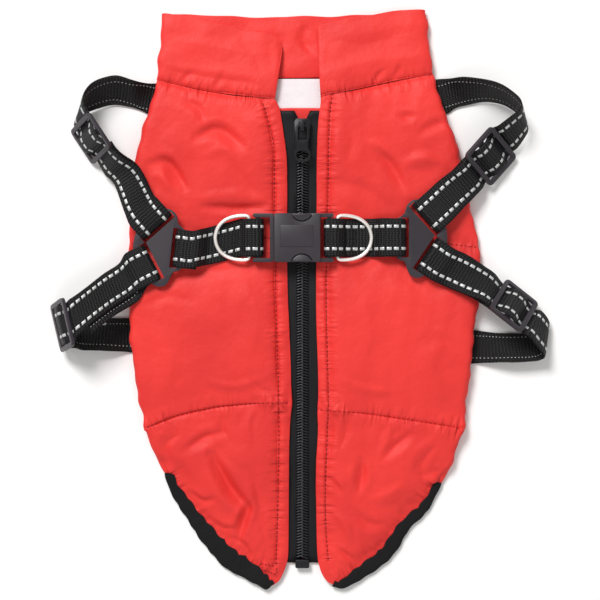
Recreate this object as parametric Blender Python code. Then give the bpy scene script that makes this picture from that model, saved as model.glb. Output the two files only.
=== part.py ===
"""Padded dog coat with a walking harness, lying flat on its belly side.

Lengths are in millimetres until a mesh is made. X runs to the right, Y to the
collar and Z up. The origin is the middle of the part's footprint, on the table.
"""
import math
from collections import namedtuple

import bmesh
import bpy
from mathutils import Matrix, Vector
from mathutils.bvhtree import BVHTree

MM = 0.001
GAP = 0.3                  # between touching pieces

# ---- Cloth thicknesses and layer heights -------------------------------------
BELLY_WALL = 2.4           # padded belly panel
SEAM_WALL = 1.5            # padded wall pressed thin by a seam
HEM_WALL = 1.0             # wall inside a folded binding
PUFF_WALL = 6.4            # back panel, middle of a padded compartment
BAND_WALL = 3.2            # back panel pressed by the harness band
PUFF_REACH = 27.0          # how far the padding takes to rise from a seam
HEM_REACH = 24.0           # the same from the hem's binding
PLACKET_REACH = 20.0       # the same from the placket's stitches
PLACKET = 8.5              # from the placket's edge to its stitches
PLACKET_BEAD = 1.3         # how far the placket swells between them
BINDING_LEAF = 0.6         # one leaf of a folded binding
HEM_INSET = 1.3            # from a hem binding's outer fold to the cut edge inside it
CAVITY_FLOOR = 3.2         # inside face of the back panels above the table
FLAP_FLOOR = 1.0           # the same at the hem, where the panels lie on the table
STRAP_LIFT = 1.7           # the coat rides this high over a strap beneath it

# ---- Zip ---------------------------------------------------------------------
ZIP_X = 1.5                # the chain's centre line
CHAIN_WIDTH = 7.8
CHAIN_HEIGHT = 2.0
TAPE = 0.6
ZIP_TOP = 124.0
ZIP_FOOT = -173.0

# ---- Harness -----------------------------------------------------------------
WEBBING_WIDTH = 25.0
WEBBING = 1.3              # webbing thickness
BAND_Y = 40.6              # buckle's centre line
PLATE = 2.5                # connector thickness
GLIDE_LENGTH = 27.0
GLIDE_WIDTH = 32.0
GLIDE_PLATE = 2.2
BUCKLE_WIDTH = 31.7
BUCKLE_HEIGHT = 8.6
RING_WIRE = 2.7

# ---- Outlines, from the coat's middle; Y falls from collar to hem --------------
At = namedtuple("At", "y x")
PLACKET_LEFT = [At(134, -17.2), At(131.1, -16.2), At(126.7, -13.4), At(119.5, -12.3), At(109.1, -10.7),
                At(96.2, -8.8), At(66.7, -8.4), At(17.2, -8.4), At(-14.5, -7.3), At(-46.2, -5.9),
                At(-77.9, -5.9), At(-86, -6.9), At(-117.5, -7.3), At(-165, -7.6), At(-172, -8.3),
                At(-180.8, -11.4), At(-185, -14)]
PLACKET_RIGHT = [At(136, 13.2), At(133.3, 13.4), At(127.6, 13.7), At(119.3, 11.9), At(105.6, 11.4),
                 At(66.7, 10.9), At(17.2, 10.6), At(-14.5, 10.6), At(-46.2, 11.9), At(-85.8, 11.9),
                 At(-99, 10.9), At(-132, 10.6), At(-165, 11.2), At(-173, 12.1), At(-180.8, 14.7),
                 At(-186, 18.6)]
SIDE_LEFT = [At(146, -93.9), At(136, -96.4), At(128, -98.3), At(112.2, -103.6), At(96.4, -108.2),
             At(80.5, -110.2), At(56.8, -111.5), At(33, -112.9), At(0, -112.6), At(-30.4, -111.5),
             At(-46.2, -108.9), At(-62, -106.9), At(-77.9, -103.6), At(-93.7, -99), At(-101.6, -95.7),
             At(-109.6, -91.7), At(-116.8, -88.6)]
SIDE_RIGHT = [At(149, 87.6), At(136, 91.1), At(120.1, 96.4), At(104.3, 103), At(80.5, 108.9),
              At(63.4, 111.5), At(40.9, 117.2), At(25.1, 118.6), At(9.2, 118.6), At(-6.6, 116.2),
              At(-38.3, 112.9), At(-70, 109.6), At(-85.8, 106.9), At(-101.6, 102.3), At(-109.6, 99.7),
              At(-117.5, 95), At(-122.3, 92.6)]

# Side seams, where the back panels meet the belly panel under the coat.
SEAM_LEFT = [At(148, -67.2), At(110, -77.5), At(70, -84.5), At(20, -86.7), At(-30, -85), At(-70, -79),
             At(-104, -69)]
SEAM_RIGHT = [At(148, 63), At(110, 74), At(70, 83.5), At(20, 91), At(-30, 89), At(-70, 83), At(-104, 75.5)]

# Seams and quilting across a back panel: u is 0 at the zip and 1 at the side.
Across = namedtuple("Across", "u y")
SEAM_COLLAR = {-1: [Across(0, 131.1), Across(.33, 133.7), Across(.65, 137.4), Across(1, 143.7)],
               1: [Across(0, 133.4), Across(.3, 137), Across(.65, 143), Across(1, 147.4)]}
QUILT_UPPER = {-1: [Across(0, 41), Across(.5, 40), Across(1, 33)],
               1: [Across(0, 42), Across(.8, 40.5), Across(1, 34.7)]}
QUILT_LOWER = {-1: [Across(0, -67.3), Across(.25, -67.6), Across(.5, -70), Across(.78, -76), Across(1, -84)],
               1: [Across(0, -71.9), Across(.3, -74), Across(.58, -77.9), Across(.85, -82), Across(1, -84.5)]}

# Outer fold of the hem's binding, from the side to the zip.
Pt = namedtuple("Pt", "x y")
HEM_LEFT = [Pt(-88.9, -114.4), Pt(-86.8, -123.2), Pt(-80.9, -133.3), Pt(-73.3, -145.1), Pt(-64.9, -156.9),
            Pt(-56.5, -167), Pt(-47.3, -176.2), Pt(-34.6, -183.6), Pt(-24, -189.4), Pt(-18, -189.6),
            Pt(-13.6, -186.2)]
HEM_RIGHT = [Pt(92.9, -121), Pt(88.4, -131.7), Pt(82.5, -140.5), Pt(75.8, -146.8), Pt(69.9, -153.6),
             Pt(65.7, -161), Pt(58.9, -170.3), Pt(50.5, -177.1), Pt(40.4, -183.9), Pt(32, -188.7),
             Pt(25, -190), Pt(18.6, -187.2)]
Width = namedtuple("Width", "u w")
BINDING_LEFT = [Width(0, 6), Width(.25, 7), Width(.5, 8.5), Width(.75, 11), Width(.93, 8), Width(1, 5)]
BINDING_RIGHT = [Width(0, 5), Width(.3, 7), Width(.6, 8), Width(.85, 7.5), Width(1, 4)]
GATHERS = {-1: 10, 1: 9}

# Creases pressed into the outer face: depth below zero is a trough.
Crease = namedtuple("Crease", "x0 y0 x1 y1 x2 y2 depth width")
CREASES = [Crease(-68, 107, -53, 112, -37, 101, -1.8, 7), Crease(-98, 89, -86, 89, -75, 73, -2.6, 7),
           Crease(-63, 61, -40, 60, -22, 61, -1.2, 6), Crease(-57, -102, -33, -136, -43, -158, -2.4, 8),
           Crease(-76, -99, -63, -90, -50, -86, -1.3, 6), Crease(52, 97, 58, 88, 68, 74, -2.0, 7),
           Crease(70, 90, 80, 93, 92, 91, 1.2, 7), Crease(79, 110, 90, 116, 97, 117, -1.2, 6),
           Crease(41, -106, 41, -116, 39, -125, -1.4, 6), Crease(54, -104, 63, -95, 72, -88, -1.2, 6),
           Crease(25, -163, 32, -168, 37, -173, -1.0, 5)]

# Collar, from the front edge to the side fold (u) at its seam and at its top.
CollarPt = namedtuple("CollarPt", "u x y")
COLLAR_FOOT = {-1: [CollarPt(0, -16.3, 131.9), CollarPt(.33, -42.2, 134.4), CollarPt(.65, -67.5, 138.1),
                    CollarPt(1, -94.4, 144.4)],
               1: [CollarPt(0, 13.4, 134.2), CollarPt(.3, 36, 137.8), CollarPt(.65, 62, 143.7),
                   CollarPt(1, 87.8, 148.1)]}
COLLAR_TOP = {-1: [CollarPt(0, -11.4, 164), CollarPt(.05, -13.4, 171), CollarPt(.13, -20, 176.2),
                   CollarPt(.26, -31, 176), CollarPt(.5, -49, 180.3), CollarPt(.74, -68, 184.1),
                   CollarPt(1, -90.9, 188.4)],
              1: [CollarPt(0, 10.9, 175), CollarPt(.07, 14, 181), CollarPt(.3, 33.6, 185.3),
                  CollarPt(.55, 52.5, 187.9), CollarPt(.75, 66, 190.2), CollarPt(1, 82.9, 190.2)]}
COLLAR_WALL = 4.4

# Leg holes through the belly panel.
LegHole = namedtuple("LegHole", "side x y half_width half_length")
LEG_HOLES = [LegHole("left", -53, 60, 19, 29), LegHole("right", 56, 60, 19, 29)]
LEG_BINDING = 6.0
LEG_GROOVE = 0.5           # the belly's upper face is this much less sunk round a leg hole
CUT_CLEARANCE = 1.2        # from a leg binding's outer fold to the cut edge inside it
BELLY_HEM_MIDDLE = -92.0
BELLY_HEM_SIDE = -104.0
BELLY_BINDING = 7.5        # width of one leaf of the belly hem's binding

# Straps: a and b are the two edges of the webbing, low the lower edge's height,
# lean how far the webbing stands on its edge (1 fully, above 0 edge a is high).
Edge = namedtuple("Edge", "ax ay bx by low lean")
CHEST_LEFT = [Edge(-.15, 145, -.15, 120, .8, 0), Edge(-45, 145, -45, 120, .8, 0),
              Edge(-84, 144, -85.5, 120.4, .8, 0), Edge(-93.5, 143, -97, 121.6, .8, 0),
              Edge(-101, 142.4, -104.8, 125, .85, .25), Edge(-109, 143.2, -112.5, 127.4, .9, .7),
              Edge(-119.5, 145.9, -122.8, 128.7, 1, .9),
              Edge(-129, 143.9, -132.7, 126.4, 1.2, 1), Edge(-135.6, 139.9, -140.6, 123.4, 1.8, 1),
              Edge(-139.4, 134, -145, 120.4, 3, 1), Edge(-140, 128, -147.8, 117, 4, 1),
              Edge(-138.6, 121.8, -149.8, 113.6, 4.5, 1), Edge(-122.1, 97.7, -133.3, 87.8, 4.5, 1),
              Edge(-105.9, 86.5, -122.5, 76.6, 4.5, .8), Edge(-96, 69.5, -115, 58.5, 11, .2)]
CHEST_RIGHT = [Edge(.15, 145, .15, 120, .8, 0), Edge(45, 145, 45, 120, .8, 0),
               Edge(82.5, 144.9, 84.5, 120.8, .8, 0), Edge(91.5, 145.6, 96, 122.5, .8, 0),
               Edge(98.5, 145.6, 102.5, 126.4, .85, .25), Edge(106.5, 145.5, 109.8, 128.4, .9, .7),
               Edge(118.8, 143.2, 122.1, 130.7, 1, .9),
               Edge(130, 139.3, 134, 128.7, 1.2, 1), Edge(137.9, 134, 142.6, 123.4, 1.8, 1),
               Edge(142.6, 128.7, 148.5, 116.2, 3, 1), Edge(141.9, 123.4, 149.8, 111.5, 4, 1),
               Edge(137.3, 119.5, 147.2, 106.3, 4.5, 1), Edge(124.9, 109.6, 139.8, 95.7, 4.5, 1),
               Edge(109, 91.7, 123.9, 77.9, 6, .9), Edge(91.5, 78.3, 107.3, 60.5, 11, .2)]
BELLY_LEFT = [Edge(-.15, -15, -.15, -40, .8, 0), Edge(-60, -13, -60, -38, .8, 0),
              Edge(-99, -11.9, -99, -36.6, .8, 0), Edge(-112.9, -11.9, -112.2, -34.5, .8, 0),
              Edge(-126.7, -11.9, -128.7, -33.3, .9, -.6), Edge(-141.9, -11.2, -142, -33, .9, -.6),
              Edge(-150, -9.8, -147, -31.7, .85, -.4), Edge(-155.6, -8.8, -153, -31.4, .85, -.2),
              Edge(-159.4, -7.8, -156.2, -30.6, 1.9, -.1), Edge(-161.5, -7.2, -157, -29.8, 8.6, -.1),
              Edge(-157.8, -5.2, -153, -28.6, 16.8, -.1), Edge(-154.2, -3, -148.8, -27, 24.8, -.1),
              Edge(-148.6, .4, -142.6, -22.8, 28.2, -.1),
              Edge(-139.5, 7.2, -133, -13.8, 23.2, -.3), Edge(-128.5, 16.4, -121, -4.4, 16.5, -.3),
              Edge(-118.5, 23.6, -110.4, 2.6, 12.4, -.2)]
BELLY_RIGHT = [Edge(.15, -15, .15, -40, .8, 0), Edge(60, -17, 60, -42, .8, 0),
               Edge(99, -18.5, 99, -43, .8, 0), Edge(114.8, -19.8, 114.2, -42, .8, 0),
               Edge(120.5, -20.6, 121, -41.5, .85, -.15),
               Edge(132, -21.8, 135.3, -40.9, .9, -.5), Edge(148.5, -21.8, 150.5, -40.3, .9, -.5),
               Edge(158.4, -19.4, 157.1, -39.3, 1.2, -.55), Edge(163.7, -15.9, 159.5, -36.4, 4, -.7),
               Edge(161, -10.2, 153.4, -29.6, 6.6, -.9), Edge(155, -4.3, 145.3, -20.8, 7, -1),
               Edge(133.1, 13.1, 122.8, -3.2, 7.5, -1), Edge(111.5, 28.2, 99.7, 6.7, 11.4, -.3)]
STRAPS = {"chest_strap_left": CHEST_LEFT, "chest_strap_right": CHEST_RIGHT,
          "belly_strap_left": BELLY_LEFT, "belly_strap_right": BELLY_RIGHT}
# The two stations of each strap between which its tri-glide sits; tail is where the doubled layer starts
# and ease how much of the strap's own curve is left out beside the glide; slip is how far the doubled
# layer lies to one side of the one above it.
Seat = namedtuple("Seat", "first second tail ease slip")
SEATS = {"chest_strap_left": Seat(11, 12, 9, 6.6, 0), "chest_strap_right": Seat(12, 13, 9, 1.2, 0),
         "belly_strap_left": Seat(9, 11, 26, 1.2, 5.5), "belly_strap_right": Seat(10, 11, 9, 1.2, 0)}

# Three-way connector, right-hand piece, from its hub.
CONNECTOR_OUTLINE = [Pt(-14.8, 12.8), Pt(-10.2, 16.2), Pt(-8.8, 21.2), Pt(-4.8, 24.8), Pt(.6, 24.4),
                     Pt(8.6, 18), Pt(15.6, 10), Pt(17.6, 1), Pt(16.2, -7), Pt(9.4, -16.4),
                     Pt(3.2, -24), Pt(-2, -26), Pt(-6.8, -24), Pt(-9, -18.4), Pt(-10.8, -15),
                     Pt(-15.4, -12.6), Pt(-16, 0)]
Bar = namedtuple("Bar", "x y out")       # a bar's middle and the way its strap leaves
CONNECTOR_BARS = {"band": Bar(-13.7, .4, 180), "chest": Bar(6, 15.1, 42), "belly": Bar(7.5, -12.3, -34)}
BAR_WIDTH = 3.4
SLOT_WIDTH = 4.6
Place = namedtuple("Place", "x y mirror turn")
CONNECTORS = {"left": Place(-91.2, 34.6, -1, -6.5), "right": Place(78.5, 40.4, 1, 0)}

RED = ("padded_polyester", (0.83, 0.055, 0.05), 0.45, 0.0)
LINING = ("white_lining", (0.86, 0.84, 0.85), 0.8, 0.0)
BLACK_CLOTH = ("black_binding", (0.014, 0.014, 0.016), 0.7, 0.0)
BLACK_WEB = ("black_webbing", (0.014, 0.014, 0.018), 0.65, 0.0)
PLASTIC = ("moulded_plastic", (0.05, 0.05, 0.055), 0.45, 0.0)
BLACK_METAL = ("black_metal", (0.01, 0.01, 0.011), 0.35, 0.6)
NICKEL = ("nickel_wire", (0.78, 0.76, 0.73), 0.18, 1.0)


# ---- Curves and heights --------------------------------------------------------
def smooth(t):
    """Rise from 0 to 1 with level ends."""
    t = min(1.0, max(0.0, t))
    return t * t * (3 - 2 * t)


def lerp(a, b, t):
    return a + (b - a) * t


def spline(points, steps=6):
    """Smooth curve through points of any dimension."""
    pts = [tuple(p) for p in points]
    ends = [tuple(2 * a - b for a, b in zip(pts[0], pts[1]))]
    tail = [tuple(2 * a - b for a, b in zip(pts[-1], pts[-2]))]
    ring = ends + pts + tail
    found = []
    for k in range(1, len(ring) - 2):
        p0, p1, p2, p3 = ring[k - 1:k + 3]
        for s in range(steps):
            t = s / steps
            found.append(tuple(
                0.5 * (2 * b + (c - a) * t + (2 * a - 5 * b + 4 * c - d) * t * t
                       + (3 * b - a - 3 * c + d) * t ** 3)
                for a, b, c, d in zip(p0, p1, p2, p3)))
    found.append(pts[-1])
    return found


def lookup(table, key):
    """Value of a two-column table, whose first column rises or falls."""
    rows = table if table[0][0] < table[-1][0] else table[::-1]
    if key <= rows[0][0]:
        return rows[0][1]
    for (k0, v0), (k1, v1) in zip(rows, rows[1:]):
        if key <= k1:
            return lerp(v0, v1, (key - k0) / (k1 - k0))
    return rows[-1][1]


def by_length(points, count):
    """The points of a line, spaced evenly along it."""
    runs = [0.0]
    for p, q in zip(points, points[1:]):
        runs.append(runs[-1] + math.dist(p, q))
    found = []
    k = 0
    for i in range(count):
        goal = runs[-1] * i / (count - 1)
        while k < len(points) - 2 and runs[k + 1] < goal:
            k += 1
        t = (goal - runs[k]) / (runs[k + 1] - runs[k])
        found.append(tuple(lerp(a, b, t) for a, b in zip(points[k], points[k + 1])))
    return found


def strap_lift(y):
    """How far the coat is lifted by the two straps that cross beneath it."""
    chest = smooth((y - 77) / 24)
    belly = smooth((y + 72) / 24) * smooth((16 - y) / 20)
    return STRAP_LIFT * max(chest, belly)


SIDES = {-1: spline(SIDE_LEFT), 1: spline(SIDE_RIGHT)}
SEAMS = {-1: spline(SEAM_LEFT), 1: spline(SEAM_RIGHT)}
PLACKETS = {-1: spline(PLACKET_LEFT), 1: spline(PLACKET_RIGHT)}
HEMS = {-1: by_length(spline(HEM_LEFT), 60), 1: by_length(spline(HEM_RIGHT), 60)}
BINDINGS = {-1: BINDING_LEFT, 1: BINDING_RIGHT}


def placket_x(side, y):
    return lookup(PLACKETS[side], y)


def side_x(side, y):
    return lookup(SIDES[side], y)


def hem_edge(side):
    """The back panel's cut edge, just inside the binding's outer fold."""
    line = HEMS[side]
    found = []
    for k, (x, y) in enumerate(line):
        (xa, ya), (xb, yb) = line[max(0, k - 1)], line[min(len(line) - 1, k + 1)]
        run = math.hypot(xb - xa, yb - ya)
        nx, ny = (yb - ya) / run * side, -(xb - xa) / run * side
        found.append((x + nx * HEM_INSET, y + ny * HEM_INSET))
    return found


def hem_table(side):
    rows = []
    for x, y in hem_edge(side):
        x0, x1 = placket_x(side, y), side_x(side, y)
        u = (x - x0) / (x1 - x0)
        if not rows or u < rows[-1][0] - 0.004:
            rows.append((min(1.0, max(0.0, u)), y))
    return rows[::-1]


HEM_TABLES = {-1: hem_table(-1), 1: hem_table(1)}


def hem_gap(side, x, y):
    """Distance to the hem's cut edge, and where along it from side to zip."""
    line = HEMS[side]
    best = min(range(len(line)), key=lambda k: (line[k][0] - x) ** 2 + (line[k][1] - y) ** 2)
    return math.dist(line[best], (x, y)), best / (len(line) - 1)


def crease_depth(x, y):
    total = 0.0
    for c in CREASES:
        line = spline([(c.x0, c.y0), (c.x1, c.y1), (c.x2, c.y2)], 5)
        k = min(range(len(line)), key=lambda i: math.dist(line[i], (x, y)))
        away = math.dist(line[k], (x, y)) / c.width
        total += c.depth * math.exp(-away * away * 1.6)
    return total


def cavity_roof(side, x, y):
    """Inside face of a back panel: higher over the zip, down on the table at the hem."""
    to_zip = abs(x - placket_x(side, y))
    flap = smooth((-108 - y) / 26)
    over_zip = lerp(1.8, 3.0, smooth((y - 78) / 12))
    rise = lerp(over_zip, 1.1, flap) * (1 - smooth((to_zip - 10) / 20))
    return strap_lift(y) + lerp(CAVITY_FLOOR, FLAP_FLOOR, flap) + rise


def back_wall(side, x, y, u):
    """Thickness of a padded back panel."""
    lines = [lookup(SEAM_COLLAR[side], u), lookup(QUILT_UPPER[side], u), lookup(QUILT_LOWER[side], u)]
    to_line = min(abs(y - line) for line in lines)
    to_hem, along = hem_gap(side, x, y)
    to_hem -= lookup(BINDINGS[side], along) * 1.12 + 2.4
    to_zip = abs(x - placket_x(side, y))

    def swell(d, reach):
        d = min(1.0, max(0.0, d / reach))
        return math.sqrt(1 - (1 - d) ** 2)

    wall = SEAM_WALL + (PUFF_WALL - SEAM_WALL) * swell(to_line, PUFF_REACH) * swell(to_hem, HEM_REACH)
    if to_zip < PLACKET:
        bead = math.sin(math.pi * to_zip / PLACKET)
        wall = min(wall, SEAM_WALL - 0.2 + PLACKET_BEAD * bead)
    else:
        wall = SEAM_WALL + (wall - SEAM_WALL) * swell(to_zip - PLACKET, PLACKET_REACH)
    pressed = BAND_WALL + max(0.0, abs(y - BAND_Y + 2) - 15) * 0.5
    wall = min(wall, pressed)
    if to_hem < 0:
        return HEM_WALL
    return max(SEAM_WALL * 0.8, min(wall, HEM_WALL + to_hem) + crease_depth(x, y) * (wall / PUFF_WALL))


# ---- Mesh makers ---------------------------------------------------------------
def material(finish):
    name, colour, roughness, metallic = finish
    found = bpy.data.materials.get(name)
    if found:
        return found
    made = bpy.data.materials.new(name)
    made.use_nodes = True
    shader = made.node_tree.nodes["Principled BSDF"]
    shader.inputs["Base Color"].default_value = (*colour, 1)
    shader.inputs["Roughness"].default_value = roughness
    shader.inputs["Metallic"].default_value = metallic
    return made


def collection(name):
    made = bpy.data.collections.new(name)
    bpy.context.scene.collection.children.link(made)
    return made


def add_mesh(name, vertices, faces, finish):
    """An object from points in millimetres, its faces turned outwards."""
    mesh = bpy.data.meshes.new(name)
    mesh.from_pydata([Vector(v) * MM for v in vertices], [], faces)
    build = bmesh.new()
    build.from_mesh(mesh)
    bmesh.ops.recalc_face_normals(build, faces=build.faces)
    build.to_mesh(mesh)
    build.free()
    mesh.materials.append(material(finish))
    mesh.shade_smooth()
    mesh.set_sharp_from_angle(angle=math.radians(50))
    made = bpy.data.objects.new(name, mesh)
    COAT.objects.link(made)
    return made


def wall_between(name, outer, inner, finish):
    """A closed wall from two grids of points with the same rows and columns."""
    rows, columns = len(outer), len(outer[0])
    vertices = [p for grid in (outer, inner) for row in grid for p in row]
    back = rows * columns

    def at(i, j, layer=0):
        return layer * back + i * columns + j

    faces = []
    for i in range(rows - 1):
        for j in range(columns - 1):
            faces.append((at(i, j), at(i, j + 1), at(i + 1, j + 1), at(i + 1, j)))
            faces.append((at(i, j, 1), at(i + 1, j, 1), at(i + 1, j + 1, 1), at(i, j + 1, 1)))
    for i in range(rows - 1):
        for j in (0, columns - 1):
            faces.append((at(i, j), at(i + 1, j), at(i + 1, j, 1), at(i, j, 1)))
    for j in range(columns - 1):
        for i in (0, rows - 1):
            faces.append((at(i, j), at(i, j + 1), at(i, j + 1, 1), at(i, j, 1)))
    return add_mesh(name, vertices, faces, finish)


def loft(name, sections, finish):
    """A closed solid through sections with the same number of points, capped at its ends."""
    count = len(sections[0])
    vertices = [p for section in sections for p in section]
    faces = []
    for k in range(len(sections) - 1):
        for j in range(count):
            a, b = k * count + j, k * count + (j + 1) % count
            faces.append((a, b, b + count, a + count))
    faces.append(tuple(range(count)))
    last = (len(sections) - 1) * count
    faces.append(tuple(last + j for j in range(count)))
    return add_mesh(name, vertices, faces, finish)


def prism(name, outline, low, high, finish):
    """A flat outline of (x, y) points, extruded from low to high."""
    count = len(outline)
    vertices = [(x, y, low) for x, y in outline] + [(x, y, high) for x, y in outline]
    faces = [tuple(range(count)), tuple(range(count, 2 * count))]
    faces += [(j, (j + 1) % count, count + (j + 1) % count, count + j) for j in range(count)]
    return add_mesh(name, vertices, faces, finish)


def rounded_box(x0, x1, y0, y1, radius, corner=4):
    """Outline of a rectangle with round corners."""
    found = []
    centres = [(x1 - radius, y1 - radius), (x0 + radius, y1 - radius),
               (x0 + radius, y0 + radius), (x1 - radius, y0 + radius)]
    for quarter, (cx, cy) in enumerate(centres):
        for k in range(corner + 1):
            a = math.pi / 2 * (quarter + k / corner)
            found.append((cx + radius * math.cos(a), cy + radius * math.sin(a)))
    return found


def ellipse(cx, cy, half_x, half_y, count=28):
    return [(cx + half_x * math.cos(2 * math.pi * k / count), cy + half_y * math.sin(2 * math.pi * k / count))
            for k in range(count)]


def combine(target, tool, operation):
    """Cut the tool from the target, or join it on, and drop the tool."""
    step = target.modifiers.new(operation, 'BOOLEAN')
    step.operation = operation
    step.object = tool
    step.solver = 'EXACT'
    bpy.context.view_layer.update()
    shape = bpy.data.meshes.new_from_object(target.evaluated_get(bpy.context.evaluated_depsgraph_get()))
    target.modifiers.clear()
    target.data = shape
    bpy.data.objects.remove(tool)


def surface_under(names):
    """A function that gives the top of the named pieces at a place, or None."""
    trees = []
    for name in names:
        mesh = bpy.data.objects[name].data
        trees.append(BVHTree.FromPolygons([v.co / MM for v in mesh.vertices],
                                          [tuple(p.vertices) for p in mesh.polygons]))

    def top(x, y, reach=1.5):
        found = []
        for dx, dy in ((0, 0), (reach, 0), (-reach, 0), (0, reach), (0, -reach)):
            for tree in trees:
                hit = tree.ray_cast(Vector((x + dx, y + dy, 90)), Vector((0, 0, -1)))
                if hit[0]:
                    found.append(hit[0].z)
        return max(found) if found else None

    return top


# ---- Body ----------------------------------------------------------------------
ROW_STEPS = (0, .045, .13, .26, .41, .56, .71, .85, .95)
LAST_STEPS = (0, .08, .2, .36, .54, .73)
HemRow = namedtuple("HemRow", "leaf beyond")      # distance from the hem, in leaves and in millimetres
HEM_ROWS = [HemRow(1, 24), HemRow(1, 14), HemRow(1, 8), HemRow(1, 3.6), HemRow(1, 1), HemRow(.6, 0),
            HemRow(.2, 0), HemRow(0, -HEM_INSET)]
NEAR_ZIP = (0, 1.2, 4.2, 7.4, 8.6, 12, 18)
WIDE_COLUMNS = 8
FOLD_STEPS = 5
UNDER_COLUMNS = 3


def back_panel(side, name):
    """Half of the coat's back, from the zip round the side to the side seam."""
    curves = [SEAM_COLLAR[side], QUILT_UPPER[side], QUILT_LOWER[side]]
    hem = HEM_TABLES[side]
    stations = [(k, s) for k in range(2) for s in ROW_STEPS] + [(2, s) for s in LAST_STEPS]
    stations += [(3, row) for row in HEM_ROWS]

    def above_hem(u, row):
        """Height of a row that runs beside the hem."""
        slant = abs(lookup(hem, min(1, u + .04)) - lookup(hem, max(0, u - .04)))
        slant /= 110 * (min(1, u + .04) - max(0, u - .04))
        leaf = lookup(BINDINGS[side], 1 - u) * 1.1
        room = (lookup(curves[2], u) - lookup(hem, u)) * 0.8
        widest = leaf * HEM_ROWS[0].leaf + HEM_ROWS[0].beyond + HEM_INSET
        share = (leaf * row.leaf + row.beyond + HEM_INSET) / widest
        full = widest * math.sqrt(1 + slant * slant)
        return lookup(hem, u) + min(full, room) * share

    outer, inner = [], []
    for block, s in stations:

        def row_y(u, block=block, s=s):
            if block == 3:
                return above_hem(u, s)
            lower = above_hem(u, HEM_ROWS[0]) if block == 2 else lookup(curves[block + 1], u)
            return lerp(lookup(curves[block], u), lower, s)

        wide = abs(side_x(side, row_y(1)) - placket_x(side, row_y(0)))
        us = [d / wide for d in NEAR_ZIP]
        us += [lerp(us[-1], 1, (k + 1) / WIDE_COLUMNS) for k in range(WIDE_COLUMNS)]
        out_row, in_row = [], []
        y_side = row_y(1)
        x_side = side_x(side, y_side)
        roof = cavity_roof(side, x_side - side * 6, y_side)
        wall = back_wall(side, x_side - side * 6, y_side, 0.95)
        lift = strap_lift(y_side)
        radius = (roof + wall - lift) / 2
        for u in us:
            y = row_y(u)
            x = lerp(placket_x(side, y), side_x(side, y), u) - side * radius * u
            z = cavity_roof(side, x, y)
            out_row.append((x, y, z + back_wall(side, x, y, u)))
            in_row.append((x, y, z))
        # round the side
        thin = lerp(BELLY_WALL, HEM_WALL, smooth((lookup(HEM_TABLES[side], 1) + 26 - y_side) / 26))
        for k in range(1, FOLD_STEPS):
            a = math.pi / 2 - math.pi * k / FOLD_STEPS
            out_row.append((x_side - side * radius * (1 - math.cos(a)), y_side,
                            lift + radius + radius * math.sin(a)))
            z_in = lerp(roof, lift + thin, k / FOLD_STEPS)
            in_row.append((x_side - side * (radius - 0.25 * math.cos(a)), y_side, z_in))
        # under, to the side seam
        y_seam = seam_y(side, y_side)
        x_seam = seam_x(side, y_seam)
        for k in range(UNDER_COLUMNS + 1):
            t = k / UNDER_COLUMNS
            x = lerp(x_side - side * radius, x_seam, t)
            y = lerp(y_side, y_seam, smooth(t * 1.2))
            out_row.append((x, y, strap_lift(y)))
            in_row.append((x, y, strap_lift(y) + thin))
        outer.append(out_row)
        inner.append(in_row)
    return wall_between(name, outer, inner, RED)


def belly_hem(x):
    """The belly's concave hem, which the back panels hide."""
    return lerp(BELLY_HEM_MIDDLE, BELLY_HEM_SIDE, min(1.0, (x / 84) ** 2))


def neck_line(x):
    """Seam of the belly panel to the far side of the collar."""
    return 145.9 + 0.013 * x


def seam_x(side, y):
    """Side seam, under the coat."""
    return lookup(SEAMS[side], y)


def seam_y(side, y):
    """Where a row of the back panel meets the side seam."""
    start, stop = lookup(SEAM_COLLAR[side], 1), lookup(HEM_TABLES[side], 1)
    near_hem = smooth((stop + 34 - y) / 34)
    near_neck = smooth((y - start + 30) / 30)
    return y + near_hem * (BELLY_HEM_SIDE + 0.8 - stop) + near_neck * (neck_line(side * 66) - 0.4 - start)


def belly_panel():
    """The belly panel, with its leg holes and the recesses for their bindings."""
    rows, columns = 21, 12
    top_rows, under_rows = [], []
    length = neck_line(0) - BELLY_HEM_MIDDLE - 2
    levels = [0, 7.6 / length, 12.8 / length]
    levels += [lerp(levels[-1], 1, (k + 1) / rows) for k in range(rows)]
    for v in levels:
        top_row, under_row = [], []
        y_mid = lerp(BELLY_HEM_SIDE + 1.5, neck_line(0) - 0.5, v)
        edges = [seam_x(side, y_mid) - side * (GAP + 0.1) for side in (-1, 1)]
        for j in range(columns + 1):
            x = lerp(edges[0], edges[1], j / columns)
            y = lerp(belly_hem(x) + 1.5, neck_line(x) - 0.5, v)
            to_hem = y - belly_hem(x)
            bound = 1 - smooth((to_hem - BELLY_BINDING - 1) / 5)
            low = strap_lift(y) + bound * (BINDING_LEAF + GAP)
            wall = lerp(BELLY_WALL, HEM_WALL, bound)
            top_row.append((x, y, low + wall))
            under_row.append((x, y, low))
        top_rows.append(top_row)
        under_rows.append(under_row)
    panel = wall_between("belly_panel", under_rows, top_rows, RED)
    for hole in LEG_HOLES:
        reach = LEG_BINDING + CUT_CLEARANCE
        around = ellipse(hole.x, hole.y, hole.half_width + reach, hole.half_length + reach)
        combine(panel, prism("cutter", around, -5, BINDING_LEAF + GAP, RED), 'DIFFERENCE')
        sunk = BELLY_WALL - BINDING_LEAF - GAP + LEG_GROOVE
        combine(panel, prism("cutter", around, sunk, 9, RED), 'DIFFERENCE')
        through = ellipse(hole.x, hole.y, hole.half_width + CUT_CLEARANCE, hole.half_length + CUT_CLEARANCE)
        combine(panel, prism("cutter", through, -6, 10, RED), 'DIFFERENCE')
    return panel


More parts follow.
